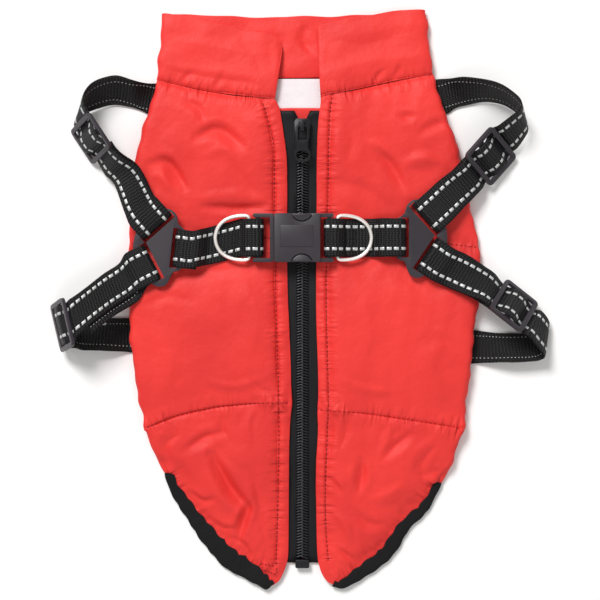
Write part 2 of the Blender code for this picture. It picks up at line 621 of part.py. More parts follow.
def binding_section(reach, half_gap, leaf):
    """Half of a folded tape's section: its outer fold at 0, its leaves running to -reach."""
    upper = [(-reach, half_gap + leaf), (-1.1, half_gap + leaf), (-0.25, half_gap * 0.6 + leaf * 0.6)]
    lower = [(n, -z) for n, z in upper[::-1]]
    inside = [(-reach, -half_gap), (-1.0, -half_gap), (-1.0, half_gap), (-reach, half_gap)]
    return upper + [(0.0, 0.0)] + lower + inside


def leg_binding(hole):
    """Tape folded over the edge of a leg hole."""
    count = 20
    middle = (BELLY_WALL + LEG_GROOVE) / 2
    half = middle - BINDING_LEAF
    sections = []
    for k in range(count):
        a = 2 * math.pi * k / count
        section = []
        for n, z in binding_section(LEG_BINDING, half, BINDING_LEAF):
            section.append((hole.x + (hole.half_width - n) * math.cos(a),
                            hole.y + (hole.half_length - n) * math.sin(a), middle + z))
        sections.append(section)
    size = len(sections[0])
    vertices = [p for section in sections for p in section]
    faces = []
    for k in range(count):
        for j in range(size):
            a, b = k * size + j, k * size + (j + 1) % size
            c, d = (k + 1) % count * size + (j + 1) % size, (k + 1) % count * size + j
            faces.append((a, b, c, d))
    return add_mesh("leg_binding_" + hole.side, vertices, faces, BLACK_CLOTH)


def hem_binding(side, name):
    """Gathered tape folded over the hem of a back panel."""
    count = GATHERS[side] * 4 + 1
    line = by_length(HEMS[side], count + 2)[1:-1]
    sections = []
    for k, (x, y) in enumerate(line):
        (xa, ya), (xb, yb) = line[max(0, k - 1)], line[min(count - 1, k + 1)]
        run = math.hypot(xb - xa, yb - ya)
        nx, ny = -(yb - ya) / run * side, (xb - xa) / run * side
        wave = math.sin(2 * math.pi * k / 4 + 0.7 * math.sin(k * 0.9))
        along = k / (count - 1)
        reach = lookup(BINDINGS[side], along) * (1 + 0.10 * wave)
        fold = 0.35 * wave
        section = []
        half = HEM_WALL / 2 + GAP + 0.1
        edge_x, edge_y = x - nx * HEM_INSET, y - ny * HEM_INSET
        middle = cavity_roof(side, edge_x, edge_y) + HEM_WALL / 2
        for n, z in binding_section(reach, half, BINDING_LEAF):
            px, py = x + nx * (n + (fold if n > -0.5 else 0)), y + ny * (n + (fold if n > -0.5 else 0))
            base = cavity_roof(side, px, py) + HEM_WALL / 2 if n < -1.05 else middle
            swell = 0.25 * (1 + wave) if z > half * 0.9 and n < -1.05 and n > -reach + 0.1 else 0
            section.append((px, py, base + z + swell))
        sections.append(section)
    return loft(name, sections, BLACK_CLOTH)


def belly_binding():
    """Tape folded over the belly's hem, from one side fold to the other."""
    half = HEM_WALL / 2 + GAP
    middle = BINDING_LEAF + GAP + HEM_WALL / 2
    left, right = seam_x(-1, BELLY_HEM_SIDE) + 0.8, seam_x(1, BELLY_HEM_SIDE) - 0.8
    sections = []
    count = 24
    for k in range(count + 1):
        x = lerp(left, right, k / count)
        folded = binding_section(BELLY_BINDING, half, BINDING_LEAF)
        sections.append([(x, belly_hem(x) - n, middle + z) for n, z in folded])
    return loft("hem_binding_belly", sections, BLACK_CLOTH)


def collar():
    """Standing collar, pressed flat: near left, far side and near right in one piece."""
    near_steps = (0, .035, .1, .2, .33, .48, .64, .8, 1)
    turn_steps = 4
    far_steps = 8
    rows = (0, .06, .2, .4, .6, .8, .94, 1)
    sides = {side: (spline(COLLAR_FOOT[side], 6), spline(COLLAR_TOP[side], 6)) for side in (-1, 1)}

    def at(side, u, v):
        foot, top = sides[side]
        fx = lookup([(p[0], p[1]) for p in foot], u)
        fy = lookup([(p[0], p[2]) for p in foot], u)
        tx = lookup([(p[0], p[1]) for p in top], u)
        ty = lookup([(p[0], p[2]) for p in top], u)
        return lerp(fx, tx, v), lerp(fy, ty, v)

    def seat(y):
        return STRAP_LIFT * (1 - smooth((y - 147) / 26))

    outer, inner = [], []
    for v in rows:
        out_row, in_row = [], []
        swell = math.sqrt(max(0.0, 1 - (1 - min(1, v / 0.38)) ** 2)) * (1 - 0.45 * smooth((v - 0.8) / 0.2))
        wall = lerp(SEAM_WALL, COLLAR_WALL, swell)
        far_wall = lerp(SEAM_WALL, 3.0, swell)

        def near(side, u):
            x, y = at(side, u, v)
            lift = seat(y)
            beside_front = 1 - smooth((abs(x - at(side, 0, v)[0]) - 12) / 24)
            over_zip = 3.0 * beside_front * (1 - smooth((y - 134) / 30))
            edge = 0.75 if u == 0 else 1.0
            z = lift + CAVITY_FLOOR + 0.2 + over_zip
            return (x, y, z + wall * edge), (x, y, z)

        for side in (-1, 1):
            x_fold, y_fold = at(side, 1, v)
            lift = seat(y_fold)
            height = CAVITY_FLOOR + 0.2 + wall
            radius = height / 2
            half_out, half_in = [], []
            for u in near_steps:
                top, low = near(side, u)
                shift = side * radius * u
                half_out.append((top[0] - shift, top[1], top[2]))
                half_in.append((low[0] - shift, low[1], low[2]))
            for k in range(1, turn_steps):
                a = math.pi / 2 - math.pi * k / turn_steps
                half_out.append((x_fold - side * radius * (1 - math.cos(a)), y_fold,
                                 lift + radius + radius * math.sin(a)))
                z_in = lerp(lift + CAVITY_FLOOR + 0.2, lift + far_wall, k / turn_steps)
                half_in.append((x_fold - side * (radius - 0.2 * math.cos(a)), y_fold, z_in))
            if side < 0:
                out_row += half_out
                in_row += half_in
                ends = [(x_fold + radius, y_fold)]
            else:
                ends.append((x_fold - radius, y_fold))
                far_line = []
                for k in range(far_steps + 1):
                    t = k / far_steps
                    x = lerp(ends[0][0], ends[1][0], t)
                    dip = lerp(-0.15, -3.0, v) * math.sin(math.pi * t)
                    y = lerp(ends[0][1], ends[1][1], t) + dip
                    far_line.append((x, y))
                out_row += [(x, y, seat(y)) for x, y in far_line]
                in_row += [(x, y, seat(y) + far_wall) for x, y in far_line]
                out_row += half_out[::-1]
                in_row += half_in[::-1]
        outer.append(out_row)
        inner.append(in_row)
    return wall_between("collar", outer, inner, RED)


# ---- Layers behind the zip, and the zip ------------------------------------------
def strip(name, ys, edges, low, thick, finish):
    """A flat strip that runs along Y: edges and low give its sides and underside at y."""
    sections = []
    for y in ys:
        x0, x1 = edges(y)
        z = low(y)
        sections.append([(x0, y, z), (x1, y, z), (x1, y, z + thick), (x0, y, z + thick)])
    return loft(name, sections, finish)


def steps(high, low, spacing):
    count = max(1, round(abs(high - low) / spacing))
    return [lerp(high, low, k / count) for k in range(count + 1)]


def zip_floor(y):
    """Underside of the zip's tapes."""
    flap = smooth((-97 - y) / 28)
    return strap_lift(y) + lerp(lerp(4.0, 5.2, smooth((y - 86) / 12)), 1.0, flap)


def underlap_floor(y):
    flap = smooth((-97 - y) / 28)
    return strap_lift(y) + lerp(lerp(3.1, 4.0, smooth((y - 117) / 4)), 0.0, flap)


def zip_parts():
    """Lining, underlap, tapes and chain, from the table up."""
    strip("lining_patch", steps(145.2, 119, 6), lambda y: (-34, 36),
          lambda y: strap_lift(y) + BELLY_WALL + GAP, 0.7, LINING)
    strip("zip_underlap", steps(126, ZIP_FOOT, 7), lambda y: (-15.5, 18.5), underlap_floor, 0.6, RED)
    spread = [At(ZIP_TOP, 3.6), At(118, 1.7), At(112, 1.6), At(108, .2), At(ZIP_FOOT, .2)]
    for side, name in ((-1, "left"), (1, "right")):
        def edges(y, side=side):
            inside = ZIP_X + side * lookup(spread, y)
            outside = placket_x(side, y) + side * 5
            return (outside, inside) if side < 0 else (inside, outside)
        ys = [ZIP_TOP, 118, 112, 108] + steps(101, ZIP_FOOT, 7)
        strip("zip_tape_" + name, ys, edges, zip_floor, TAPE, BLACK_CLOTH)
    sections = []
    half = CHAIN_WIDTH / 2
    crown = [(-half, 0), (half, 0), (half, .55), (half * .6, .95), (0, 1), (-half * .6, .95), (-half, .55)]
    for y in [112, 106] + steps(99, ZIP_FOOT + 2.6, 7):
        z = zip_floor(y) + TAPE + GAP
        sections.append([(ZIP_X + x, y, z + CHAIN_HEIGHT * h) for x, h in crown])
    loft("zip_chain", sections, BLACK_METAL)
    box_z = zip_floor(ZIP_FOOT) + TAPE + GAP
    prism("zip_box", rounded_box(ZIP_X - 4.6, ZIP_X + 4.6, ZIP_FOOT - 3.4, ZIP_FOOT + 2.2, 1), box_z,
          box_z + 2.6, BLACK_METAL)


SLIDER_TOP = 118.6
SLIDER_FOOT = 105.0
SLIDER_FLOOR = 4.1 + STRAP_LIFT
SLIDER_ROOF = 5.2 + STRAP_LIFT + TAPE + GAP + CHAIN_HEIGHT + GAP
PULL_PIVOT_Y = 113.6
PULL_PIVOT_Z = SLIDER_ROOF + 1.2 + 0.35 + 0.75 + 1.0
PULL_THICK = 1.5
PULL_END_Y = 90.0
PULL_DROOP = 6.5           # the tab's free end rests low, on the chain


def slider():
    """Zip slider: two plates joined by a post, with a crown that holds the pull."""
    outline = [(ZIP_X + x, y) for x, y in ((-5.4, SLIDER_TOP - 2.5), (-4, SLIDER_TOP), (4, SLIDER_TOP),
                                            (5.4, SLIDER_TOP - 2.5), (4.9, SLIDER_FOOT + 1),
                                            (4, SLIDER_FOOT), (-4, SLIDER_FOOT), (-4.9, SLIDER_FOOT + 1))]
    body = prism("zip_slider", outline, SLIDER_ROOF, SLIDER_ROOF + 1.2, BLACK_METAL)
    lower = prism("tool", rounded_box(ZIP_X - 4.4, ZIP_X + 4.4, SLIDER_FOOT, 116.2, 1, 2), SLIDER_FLOOR,
                  SLIDER_FLOOR + 0.8, BLACK_METAL)
    post = prism("tool", rounded_box(ZIP_X - 1.1, ZIP_X + 1.1, 112.8, 115.8, 0.6, 2), SLIDER_FLOOR + 0.4,
                 SLIDER_ROOF + 0.6, BLACK_METAL)
    combine(body, lower, 'UNION')
    combine(body, post, 'UNION')
    for y in (PULL_PIVOT_Y + 2.6, PULL_PIVOT_Y - 2.6):
        leg = prism("tool", rounded_box(ZIP_X - 1.3, ZIP_X + 1.3, y - 0.9, y + 0.9, 0.4, 2),
                    SLIDER_ROOF + 0.5, PULL_PIVOT_Z + 2.2, BLACK_METAL)
        combine(body, leg, 'UNION')
    crown = rounded_box(ZIP_X - 1.3, ZIP_X + 1.3, PULL_PIVOT_Y - 3.5, PULL_PIVOT_Y + 3.5, 0.5, 2)
    roof = prism("tool", crown, PULL_PIVOT_Z + 1.2, PULL_PIVOT_Z + 2.4, BLACK_METAL)
    combine(body, roof, 'UNION')


def pull_tab():
    """Pull: a bail that runs under the crown, a waist and an oval end ring."""
    top = PULL_PIVOT_Y + 0.75
    half = [(0, top), (3.2, top), (4.2, top - 1), (4.2, 104.3), (3.8, 102.8), (3.8, 99), (5, 97.4),
            (5.5, 94.8), (4.8, 91.9), (2.8, PULL_END_Y), (0, PULL_END_Y)]
    outline = [(ZIP_X + x, y) for x, y in half] + [(ZIP_X - x, y) for x, y in half[-2:0:-1]]
    low, high = PULL_PIVOT_Z - PULL_THICK / 2, PULL_PIVOT_Z + PULL_THICK / 2
    tab = prism("zip_pull", outline, low, high, BLACK_METAL)
    window = rounded_box(ZIP_X - 2.9, ZIP_X + 2.9, 104.6, top - 1.5, 0.7, 2)
    combine(tab, prism("cutter", window, low - 3, high + 3, BLACK_METAL), 'DIFFERENCE')
    eye = ellipse(ZIP_X, 94.6, 4.2, 3, 16)
    combine(tab, prism("cutter", eye, low - 3, high + 3, BLACK_METAL), 'DIFFERENCE')
    pivot = Matrix.Translation(Vector((ZIP_X, PULL_PIVOT_Y, PULL_PIVOT_Z)) * MM)
    tab.data.transform(pivot @ Matrix.Rotation(math.radians(PULL_DROOP), 4, 'X') @ pivot.inverted())


# ---- Webbing -------------------------------------------------------------------
Frame = namedtuple("Frame", "centre half normal run")
LOWEST = WEBBING / 2 + 0.15        # middle of webbing that lies on the table


def frames_through(stations, steps_each=4):
    """Centre, half width and normal of a strip of webbing through its edge stations."""
    edges = []
    for s in stations:
        flat = math.hypot(s.ax - s.bx, s.ay - s.by)
        rise = math.sqrt(max(0.0, WEBBING_WIDTH ** 2 - flat ** 2)) * abs(s.lean)
        az, bz = (s.low + rise, s.low) if s.lean > 0 else (s.low, s.low + rise)
        edges.append((s.ax, s.ay, az, s.bx, s.by, bz))
    found = []
    run = 0.0
    points = spline(edges, steps_each)
    points = [p[:2] + (max(p[2], LOWEST),) + p[3:5] + (max(p[5], LOWEST),) for p in points]
    centres = [(Vector(p[:3]) + Vector(p[3:])) / 2 for p in points]
    for k, p in enumerate(points):
        ahead = centres[min(len(points) - 1, k + 1)] - centres[max(0, k - 1)]
        half = (Vector(p[:3]) - Vector(p[3:])) / 2
        normal = ahead.cross(half).normalized()
        if k:
            run += (centres[k] - centres[k - 1]).length
        found.append(Frame(centres[k], half, normal, run))
    return found


def bend(first, last, count=4):
    """Frames round the sharp fold between two frames of a strip."""
    reach = (last.centre - first.centre).length * 0.4
    into = first.centre + first.half.cross(first.normal).normalized() * reach
    out_of = last.centre - last.half.cross(last.normal).normalized() * reach
    found = []
    for k in range(1, count):
        t = k / count
        s = 1 - t
        centre = first.centre * s ** 3 + into * 3 * s * s * t + out_of * 3 * s * t * t + last.centre * t ** 3
        half = first.half.lerp(last.half, t)
        centre.z = max(centre.z, LOWEST + abs(half.z))
        found.append(Frame(centre, half, first.normal.slerp(last.normal, t), first.run))
    return found


def webbing(name, frames):
    """Webbing of constant thickness through a list of frames."""
    sections = []
    for f in frames:
        up = f.normal * WEBBING / 2
        sections.append([f.centre + f.half + up, f.centre - f.half + up,
                         f.centre - f.half - up, f.centre + f.half - up])
    return loft(name, sections, BLACK_WEB)


def moved(frame, offset):
    return Frame(frame.centre + frame.normal * offset, frame.half, frame.normal, frame.run)


BAR_WRAP = PLATE / 2 + GAP + WEBBING / 2 + 0.15
BAR_REACH = 3.8            # from a bar's middle to the webbing that turns round it


def turn_round(centre, half, ahead, up, rise, reach, count=6):
    """Frames round a bar, from one side of it to the other."""
    found = []
    for k in range(count + 1):
        a = math.pi / 2 - math.pi * k / count
        place = centre + ahead * math.cos(a) * reach + up * math.sin(a) * rise
        found.append(Frame(place, half, (ahead * math.cos(a) + up * math.sin(a)).normalized(), 0.0))
    return found


def connector_point(side, x, y):
    """A point of the connector's plan, placed on the coat."""
    place = CONNECTORS[side]
    turn = math.radians(place.turn)
    x *= place.mirror
    return (place.x + x * math.cos(turn) - y * math.sin(turn),
            place.y + x * math.sin(turn) + y * math.cos(turn))


def bar_frame(side, arm, height):
    """Middle of a connector's bar and the level direction its strap leaves in."""
    bar = CONNECTOR_BARS[arm]
    x, y = connector_point(side, bar.x, bar.y)
    a = math.radians(bar.out)
    ox, oy = connector_point(side, bar.x + math.cos(a), bar.y + math.sin(a))
    return Vector((x, y, height)), Vector((ox - x, oy - y, 0)).normalized()


def connector(side, height):
    """Three-way connector: a flat moulded plate with three slots."""
    ring = spline(CONNECTOR_OUTLINE + CONNECTOR_OUTLINE[:1], 2)[:-1]
    outline = [connector_point(side, x, y) for x, y in ring]
    plate = prism("connector_" + side, outline, height - PLATE / 2, height + PLATE / 2, PLASTIC)
    for arm in CONNECTOR_BARS:
        centre, out = bar_frame(side, arm, height)
        along = Vector((-out.y, out.x, 0))
        middle = centre - out * (BAR_WIDTH / 2 + SLOT_WIDTH / 2)
        corners = []
        for a, b in ((1, 1), (-1, 1), (-1, -1), (1, -1)):
            p = middle + along * a * (WEBBING_WIDTH / 2 + 0.5) + out * b * SLOT_WIDTH / 2
            corners.append((p.x, p.y))
        combine(plate, prism("cutter", corners, height - 4, height + 4, PLASTIC), 'DIFFERENCE')
    return plate


def frame_at(frames, run):
    """The frame at a length along the webbing."""
    for f, g in zip(frames, frames[1:]):
        if run <= g.run:
            t = max(0.0, (run - f.run) / (g.run - f.run))
            return Frame(f.centre.lerp(g.centre, t), f.half.lerp(g.half, t),
                         f.normal.lerp(g.normal, t).normalized(), run)
    return frames[-1]


OVER_GLIDE = GLIDE_PLATE / 2 + GAP + WEBBING / 2
# Height of the webbing over the tri-glide's plane, from its middle bar outwards.
Weave = namedtuple("Weave", "away height")
GLIDE_WEAVE = [Weave(0, OVER_GLIDE), Weave(2.8, OVER_GLIDE - .1), Weave(9.6, -OVER_GLIDE),
               Weave(13.8, -OVER_GLIDE), Weave(17, 0)]
GLIDE_FLAT = 13.9          # the webbing is straight this far to each side
TAIL_DROP = 1.9            # the doubled layer beneath the webbing
TAIL_DROP_GLIDE = 3.9
FOLDED = -0.3              # cosine between two normals where a strap is folded sharply


def resting(frames, first_run, top, slip):
    """Frames lifted where the coat beneath is higher, evened out along the strap."""
    total = frames[-1].run
    rise = []
    for f in frames:
        need = 0.0
        if f.run > first_run:
            for share in (-1 - 2 * slip / WEBBING_WIDTH, -.5, 0, .5, 1):
                p = f.centre + f.half * share
                under = top(p.x, p.y, 3)
                if under is not None:
                    need = max(need, under + 0.4 + BAR_WRAP + WEBBING / 2 - p.z)
            need *= 1 - smooth((f.run - total + 12) / 10)
        rise.append(need)
    found = []
    for k, f in enumerate(frames):
        near = [max(rise[max(0, i - 2):i + 3]) for i in range(max(0, k - 2), min(len(rise), k + 3))]
        lift = sum(near) / len(near) * (1 - smooth((f.run - total + 12) / 10))
        found.append(Frame(f.centre + Vector((0, 0, lift)), f.half, f.normal, f.run))
    return found


def strap(name, height, top):
    """A strap from under the coat, round its turn, through its tri-glide and connector, and back."""
    left = name.endswith("left")
    arm = "chest" if name.startswith("chest") else "belly"
    up = 1 if left else -1
    centre, out = bar_frame("left" if left else "right", arm, height)
    along = Vector((-out.y, out.x, 0)) * WEBBING_WIDTH / 2
    last = STRAPS[name][-1]
    if Vector((last.ax - last.bx, last.ay - last.by, 0)).dot(along) < 0:
        along = -along
    ends = []
    for back in (9.0, 0.0):
        p = centre + out * back
        ends.append(Edge(p.x + along.x, p.y + along.y, p.x - along.x, p.y - along.y, height, 0))
    frames = frames_through(STRAPS[name] + ends)
    seat = SEATS[name]
    seat_run = (frames[seat.first * 4].run + frames[seat.second * 4].run) / 2
    frames = resting(frames, seat_run + GLIDE_FLAT, top, seat.slip)
    total = frames[-1].run
    before, after = frame_at(frames, seat_run - 12), frame_at(frames, seat_run + 12)
    ahead = (after.centre - before.centre).normalized()
    middle = (before.centre + after.centre) / 2
    across = frame_at(frames, seat_run).half
    across = (across - ahead * across.dot(ahead)).normalized()
    normal = ahead.cross(across) * up

    def placed(run, offset):
        d = run - seat_run
        if abs(d) <= GLIDE_FLAT:
            return Frame(middle + ahead * d + normal * offset, across * WEBBING_WIDTH / 2, normal * up, run)
        f = frame_at(frames, run)
        return moved(f, offset * up)

    runs = []
    for f in frames[:-1]:
        d = f.run - seat_run
        past = abs((f.centre - middle).dot(ahead)) > GLIDE_FLAT + 1.2 or abs(d) > GLIDE_FLAT + 7
        if abs(d) > GLIDE_FLAT + seat.ease and past:
            runs.append(f.run)
    for w in GLIDE_WEAVE[:-1]:
        runs += [seat_run + w.away] + ([seat_run - w.away] if w.away else [])
    path = []
    for run in sorted(runs):
        over_bar = BAR_WRAP * smooth((run - total + 16) / 12)
        path.append(placed(run, lookup(GLIDE_WEAVE, abs(run - seat_run)) + over_bar))
    folded = next((k for k in range(1, len(path)) if path[k - 1].normal.dot(path[k].normal) < FOLDED), None)
    if folded:
        path[folded:folded] = bend(path[folded - 1], path[folded])
    turned = turn_round(centre, frames[-1].half, -out, Vector((0, 0, 1)), BAR_WRAP, BAR_REACH)
    path += [Frame(f.centre, f.half, f.normal * up, 0) for f in turned]
    for run in sorted((r for r in runs if seat_run + seat.tail < r < total - 5), reverse=True):
        near_bar = smooth((run - total + 16) / 10)
        near_glide = 1 - smooth((run - seat_run - 15) / 12)
        drop = max(lerp(TAIL_DROP, BAR_WRAP, near_bar), lerp(TAIL_DROP, TAIL_DROP_GLIDE, near_glide))
        f = placed(run, -drop)
        aside = f.half.normalized() * seat.slip * smooth((total - run - 4) / 12)
        path.append(Frame(f.centre - aside, f.half, -f.normal, run))
    webbing(name, path)
    return middle, ahead, normal


def tri_glide(name, seat):
    """Tri-glide: a frame with a middle bar, set across its strap."""
    centre, ahead, normal = seat
    across = normal.cross(ahead).normalized()
    outline = rounded_box(-GLIDE_LENGTH / 2, GLIDE_LENGTH / 2, -GLIDE_WIDTH / 2, GLIDE_WIDTH / 2, 3, 3)
    glide = prism(name, outline, -GLIDE_PLATE / 2, GLIDE_PLATE / 2, PLASTIC)
    slot_half = WEBBING_WIDTH / 2 + 0.6
    for x in (-6.3, 6.3):
        hole = rounded_box(x - 4.1, x + 4.1, -slot_half, slot_half, 0.8, 2)
        combine(glide, prism("cutter", hole, -4, 4, PLASTIC), 'DIFFERENCE')
    turn = Matrix((ahead, across, normal)).transposed().to_4x4()
    glide.data.transform(Matrix.Translation(centre * MM) @ turn)
    return glide


# ---- Buckle, band and D-rings ----------------------------------------------------
BUCKLE_Z = 12.9
BUCKLE_SEAM_X = -16.9
BUCKLE_BAR = 2.6
# Each half: the bar its webbing folds round, the inner end of its slot, and its rails' end.
Half = namedtuple("Half", "bar body_end rail_end ring")
BUCKLE = {"left": Half(-27.4, -19.6, -30.8, -32.9), "right": Half(19.2, 13.2, 22.0, 24.2)}
BUCKLE_WRAP = 1.25 + GAP + WEBBING / 2 + 0.1
RING_Z = BUCKLE_Z
RING_DROOP = 5.5           # degrees from level, where the ring's curve rests on the band


def buckle_half(name, hand):
    """Half of the buckle: a body, and a frame with the bar that its webbing folds round."""
    sizes = BUCKLE[hand]
    sign = -1 if hand == "left" else 1
    half = BUCKLE_WIDTH / 2
    x0, x1 = sorted((BUCKLE_SEAM_X + sign * GAP / 2, sizes.body_end))
    body = prism(name, rounded_box(x0, x1, BAND_Y - half, BAND_Y + half, 1.2, 2),
                 BUCKLE_Z - BUCKLE_HEIGHT / 2, BUCKLE_Z + BUCKLE_HEIGHT / 2, PLASTIC)
    rail = 2.5
    for y in (BAND_Y - half + rail / 2, BAND_Y + half - rail / 2):
        a, b = sorted((sizes.body_end - sign * 2, sizes.rail_end))
        combine(body, prism("tool", rounded_box(a, b, y - rail / 2, y + rail / 2, 1, 2), BUCKLE_Z - 2.2,
                            BUCKLE_Z + 2.2, PLASTIC), 'UNION')
    bar = prism("tool", rounded_box(sizes.bar - BUCKLE_BAR / 2, sizes.bar + BUCKLE_BAR / 2, BAND_Y - half + 1,
                                    BAND_Y + half - 1, 0.5, 2), BUCKLE_Z - 1.25, BUCKLE_Z + 1.25, PLASTIC)
    combine(body, bar, 'UNION')
    return body


def buckle():
    """Side-release buckle, fastened: the halves meet at one seam."""
    buckle_half("buckle_male", "left")
    female = buckle_half("buckle_female", "right")
    for y_sign in (-1, 1):
        edge = BAND_Y + y_sign * (BUCKLE_WIDTH / 2 + 2.6)
        window = ellipse(1.2, edge, 8.0, 8.2, 20)
        combine(female, prism("cutter", window, BUCKLE_Z + 1.4, BUCKLE_Z + 8, PLASTIC), 'DIFFERENCE')


def harness_band(hand, height, top):
    """Band of webbing, folded round the connector at one end and the buckle at the other."""
    sign = -1 if hand == "left" else 1
    sizes = BUCKLE[hand]
    up = Vector((0, 0, 1))
    centre, out = bar_frame(hand, "band", height)
    along = Vector((-out.y, out.x, 0)) * WEBBING_WIDTH / 2
    if along.y < 0:
        along = -along
    straight = Vector((0, WEBBING_WIDTH / 2, 0))

    def rest(p, half):
        """Height of webbing that lies on the coat."""
        heights = [top(p.x + half.x * s, p.y + half.y * s, 2) for s in (-1, -.5, 0, .5, 1)]
        return max(h for h in heights if h is not None) + 0.35 + WEBBING / 2

    # the folded end lies beneath; then round the connector's bar and over it
    path = []
    for away, low in ((11.0, 0.5), (6.0, 0.1)):
        p = centre + out * away
        path.append(Frame(Vector((p.x, p.y, height - BAR_WRAP - low)), along, -up, 0))
    path += turn_round(centre, along, -out, -up, BAR_WRAP, BAR_REACH)
    # along the coat to the buckle
    start, stop = centre + out * 7, Vector((sizes.ring + sign * 6, BAND_Y, 0))
    count = 9
    for k in range(count + 1):
        p = start.lerp(stop, k / count)
        half = along.lerp(straight, k / count)
        near = 1 - smooth((k - .8) / 2.8)
        lies = rest(p, half)
        over_tail = max(height + BAR_WRAP - 0.3, lies)
        under_bar = max(lies, BUCKLE_Z - BUCKLE_WRAP - 0.7)
        near_buckle = smooth((k - count + 2.4) / 2.4)
        p.z = lerp(lerp(lies, over_tail, near), under_bar, near_buckle)
        path.append(Frame(p, half, up, 0))
    bar = Vector((sizes.bar, BAND_Y, BUCKLE_Z))
    path.append(Frame(Vector((sizes.ring, BAND_Y, BUCKLE_Z - BUCKLE_WRAP - 0.1)), straight, up, 0))
    toward = Vector((-sign, 0, 0))
    rounded = turn_round(bar, straight, toward, -up, BUCKLE_WRAP, BUCKLE_BAR / 2 + GAP + WEBBING / 2 + 0.8)
    path += [Frame(f.centre, f.half, -f.normal, 0) for f in rounded]
    # back over the D-ring, down to the sewn end
    over_ring = RING_Z + RING_WIRE / 2 + GAP + WEBBING / 2 + 0.15
    for away, z in ((0.0, over_ring), (2.4, over_ring - 1.0), (5.0, path[-8].centre.z + 1.9)):
        path.append(Frame(Vector((sizes.ring + sign * away, BAND_Y, z)), straight, -up, 0))
    webbing("harness_band_" + hand, path)


# Half of a ring from its straight side round to its curve's crown.
RING_HALF = [Pt(0, 12), Pt(-.6, 13.5), Pt(-2.6, 14.5), Pt(-8, 14.3), Pt(-14, 12.8), Pt(-19, 9.4),
             Pt(-21.8, 4.8), Pt(-22.7, 0)]


def d_ring(hand):
    """D-ring of round wire, its straight side held in the fold of the band."""
    sign = -1 if hand == "left" else 1
    upper = RING_HALF[:1] + spline(RING_HALF[1:], 2)
    loop = [(-sign * x, y) for x, y in upper] + [(-sign * x, -y) for x, y in upper[-2::-1]]
    curve = bpy.data.curves.new("d_ring_" + hand, 'CURVE')
    curve.dimensions = '3D'
    curve.bevel_depth = RING_WIRE / 2 * MM
    curve.bevel_resolution = 2
    wire = curve.splines.new('POLY')
    wire.points.add(len(loop) - 1)
    for point, (x, y) in zip(wire.points, loop):
        point.co = (x * MM, y * MM, 0, 1)
    wire.use_cyclic_u = True
    curve.materials.append(material(NICKEL))
    ring = bpy.data.objects.new("d_ring_" + hand, curve)
    COAT.objects.link(ring)
    ring.location = Vector((BUCKLE[hand].ring, BAND_Y, RING_Z)) * MM
    ring.rotation_euler.y = math.radians(RING_DROOP) * sign


# ---- The coat, in the order it is put together -----------------------------------
for old in list(bpy.data.objects):
    bpy.data.objects.remove(old, do_unlink=True)
COAT = collection("dog_coat")

belly_panel()
for leg_hole in LEG_HOLES:
    leg_binding(leg_hole)
back_panel(-1, "back_left")
back_panel(1, "back_right")
collar()
hem_binding(-1, "hem_binding_left")
hem_binding(1, "hem_binding_right")
belly_binding()
zip_parts()
slider()
pull_tab()
panel_top = surface_under(["back_left", "back_right"])
PLATE_HEIGHT = {}
for which, spot in CONNECTORS.items():
    high = max(panel_top(spot.x + dx, spot.y + dy, 3) or 0 for dx in (-14, 0, 14) for dy in (-20, 0, 20))
    PLATE_HEIGHT[which] = high + 0.4 + WEBBING + GAP + PLATE / 2
    connector(which, PLATE_HEIGHT[which])
for strap_name in STRAPS:
    hand = strap_name.rsplit("_", 1)[1]
    glide_seat = strap(strap_name, PLATE_HEIGHT[hand], panel_top)
    tri_glide(strap_name.replace("strap", "glide"), glide_seat)
buckle()
for hand in ("left", "right"):
    harness_band(hand, PLATE_HEIGHT[hand], panel_top)
    d_ring(hand)
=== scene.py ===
import math
import random
from collections import namedtuple

import bmesh
import bpy
import numpy as np
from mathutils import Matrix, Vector
from mathutils.bvhtree import BVHTree


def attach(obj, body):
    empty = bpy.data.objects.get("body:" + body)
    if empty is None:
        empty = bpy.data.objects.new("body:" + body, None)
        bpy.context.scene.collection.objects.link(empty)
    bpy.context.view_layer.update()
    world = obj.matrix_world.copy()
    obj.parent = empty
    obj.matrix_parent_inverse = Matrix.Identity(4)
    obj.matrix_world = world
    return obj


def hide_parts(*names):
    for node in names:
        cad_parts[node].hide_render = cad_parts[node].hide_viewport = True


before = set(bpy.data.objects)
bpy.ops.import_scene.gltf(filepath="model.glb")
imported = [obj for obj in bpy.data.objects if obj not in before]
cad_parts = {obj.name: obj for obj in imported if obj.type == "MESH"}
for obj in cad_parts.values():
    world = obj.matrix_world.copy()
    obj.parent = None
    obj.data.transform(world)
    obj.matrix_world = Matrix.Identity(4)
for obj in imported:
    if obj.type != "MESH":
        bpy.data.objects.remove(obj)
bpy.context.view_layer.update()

bpy.ops.object.select_all(action='DESELECT')

# ==== Belly panel ====
# The underside of the coat: coated polyester pongee, quilted to thin wadding and a lining.
# It is cut with two leg holes, and its sides are sewn to the back panels.
MM = 0.001
SHELL_RED = "#E23530"
SHELL_SHADE = "#D62F2C"
THREAD_PITCH = 0.45             # the real 0.15 mm thread spacing is too fine to show
WAVE_REPEAT = 0.314             # metres from crest to crest of a wave texture at scale 1


def linear(colour):
    """sRGB hex as a linear colour."""
    parts = [int(colour[k:k + 2], 16) / 255 for k in (1, 3, 5)]
    return [c / 12.92 if c <= 0.04045 else ((c + 0.055) / 1.055) ** 2.4 for c in parts] + [1.0]


def give(socket, value):
    """Link a socket to another, or to a node's first live output, or give it a value or an sRGB hex colour."""
    if isinstance(value, bpy.types.Node):
        value = next(output for output in value.outputs if output.enabled)
    if isinstance(value, bpy.types.NodeSocket):
        socket.id_data.links.new(value, socket)
    else:
        socket.default_value = linear(value) if isinstance(value, str) else value


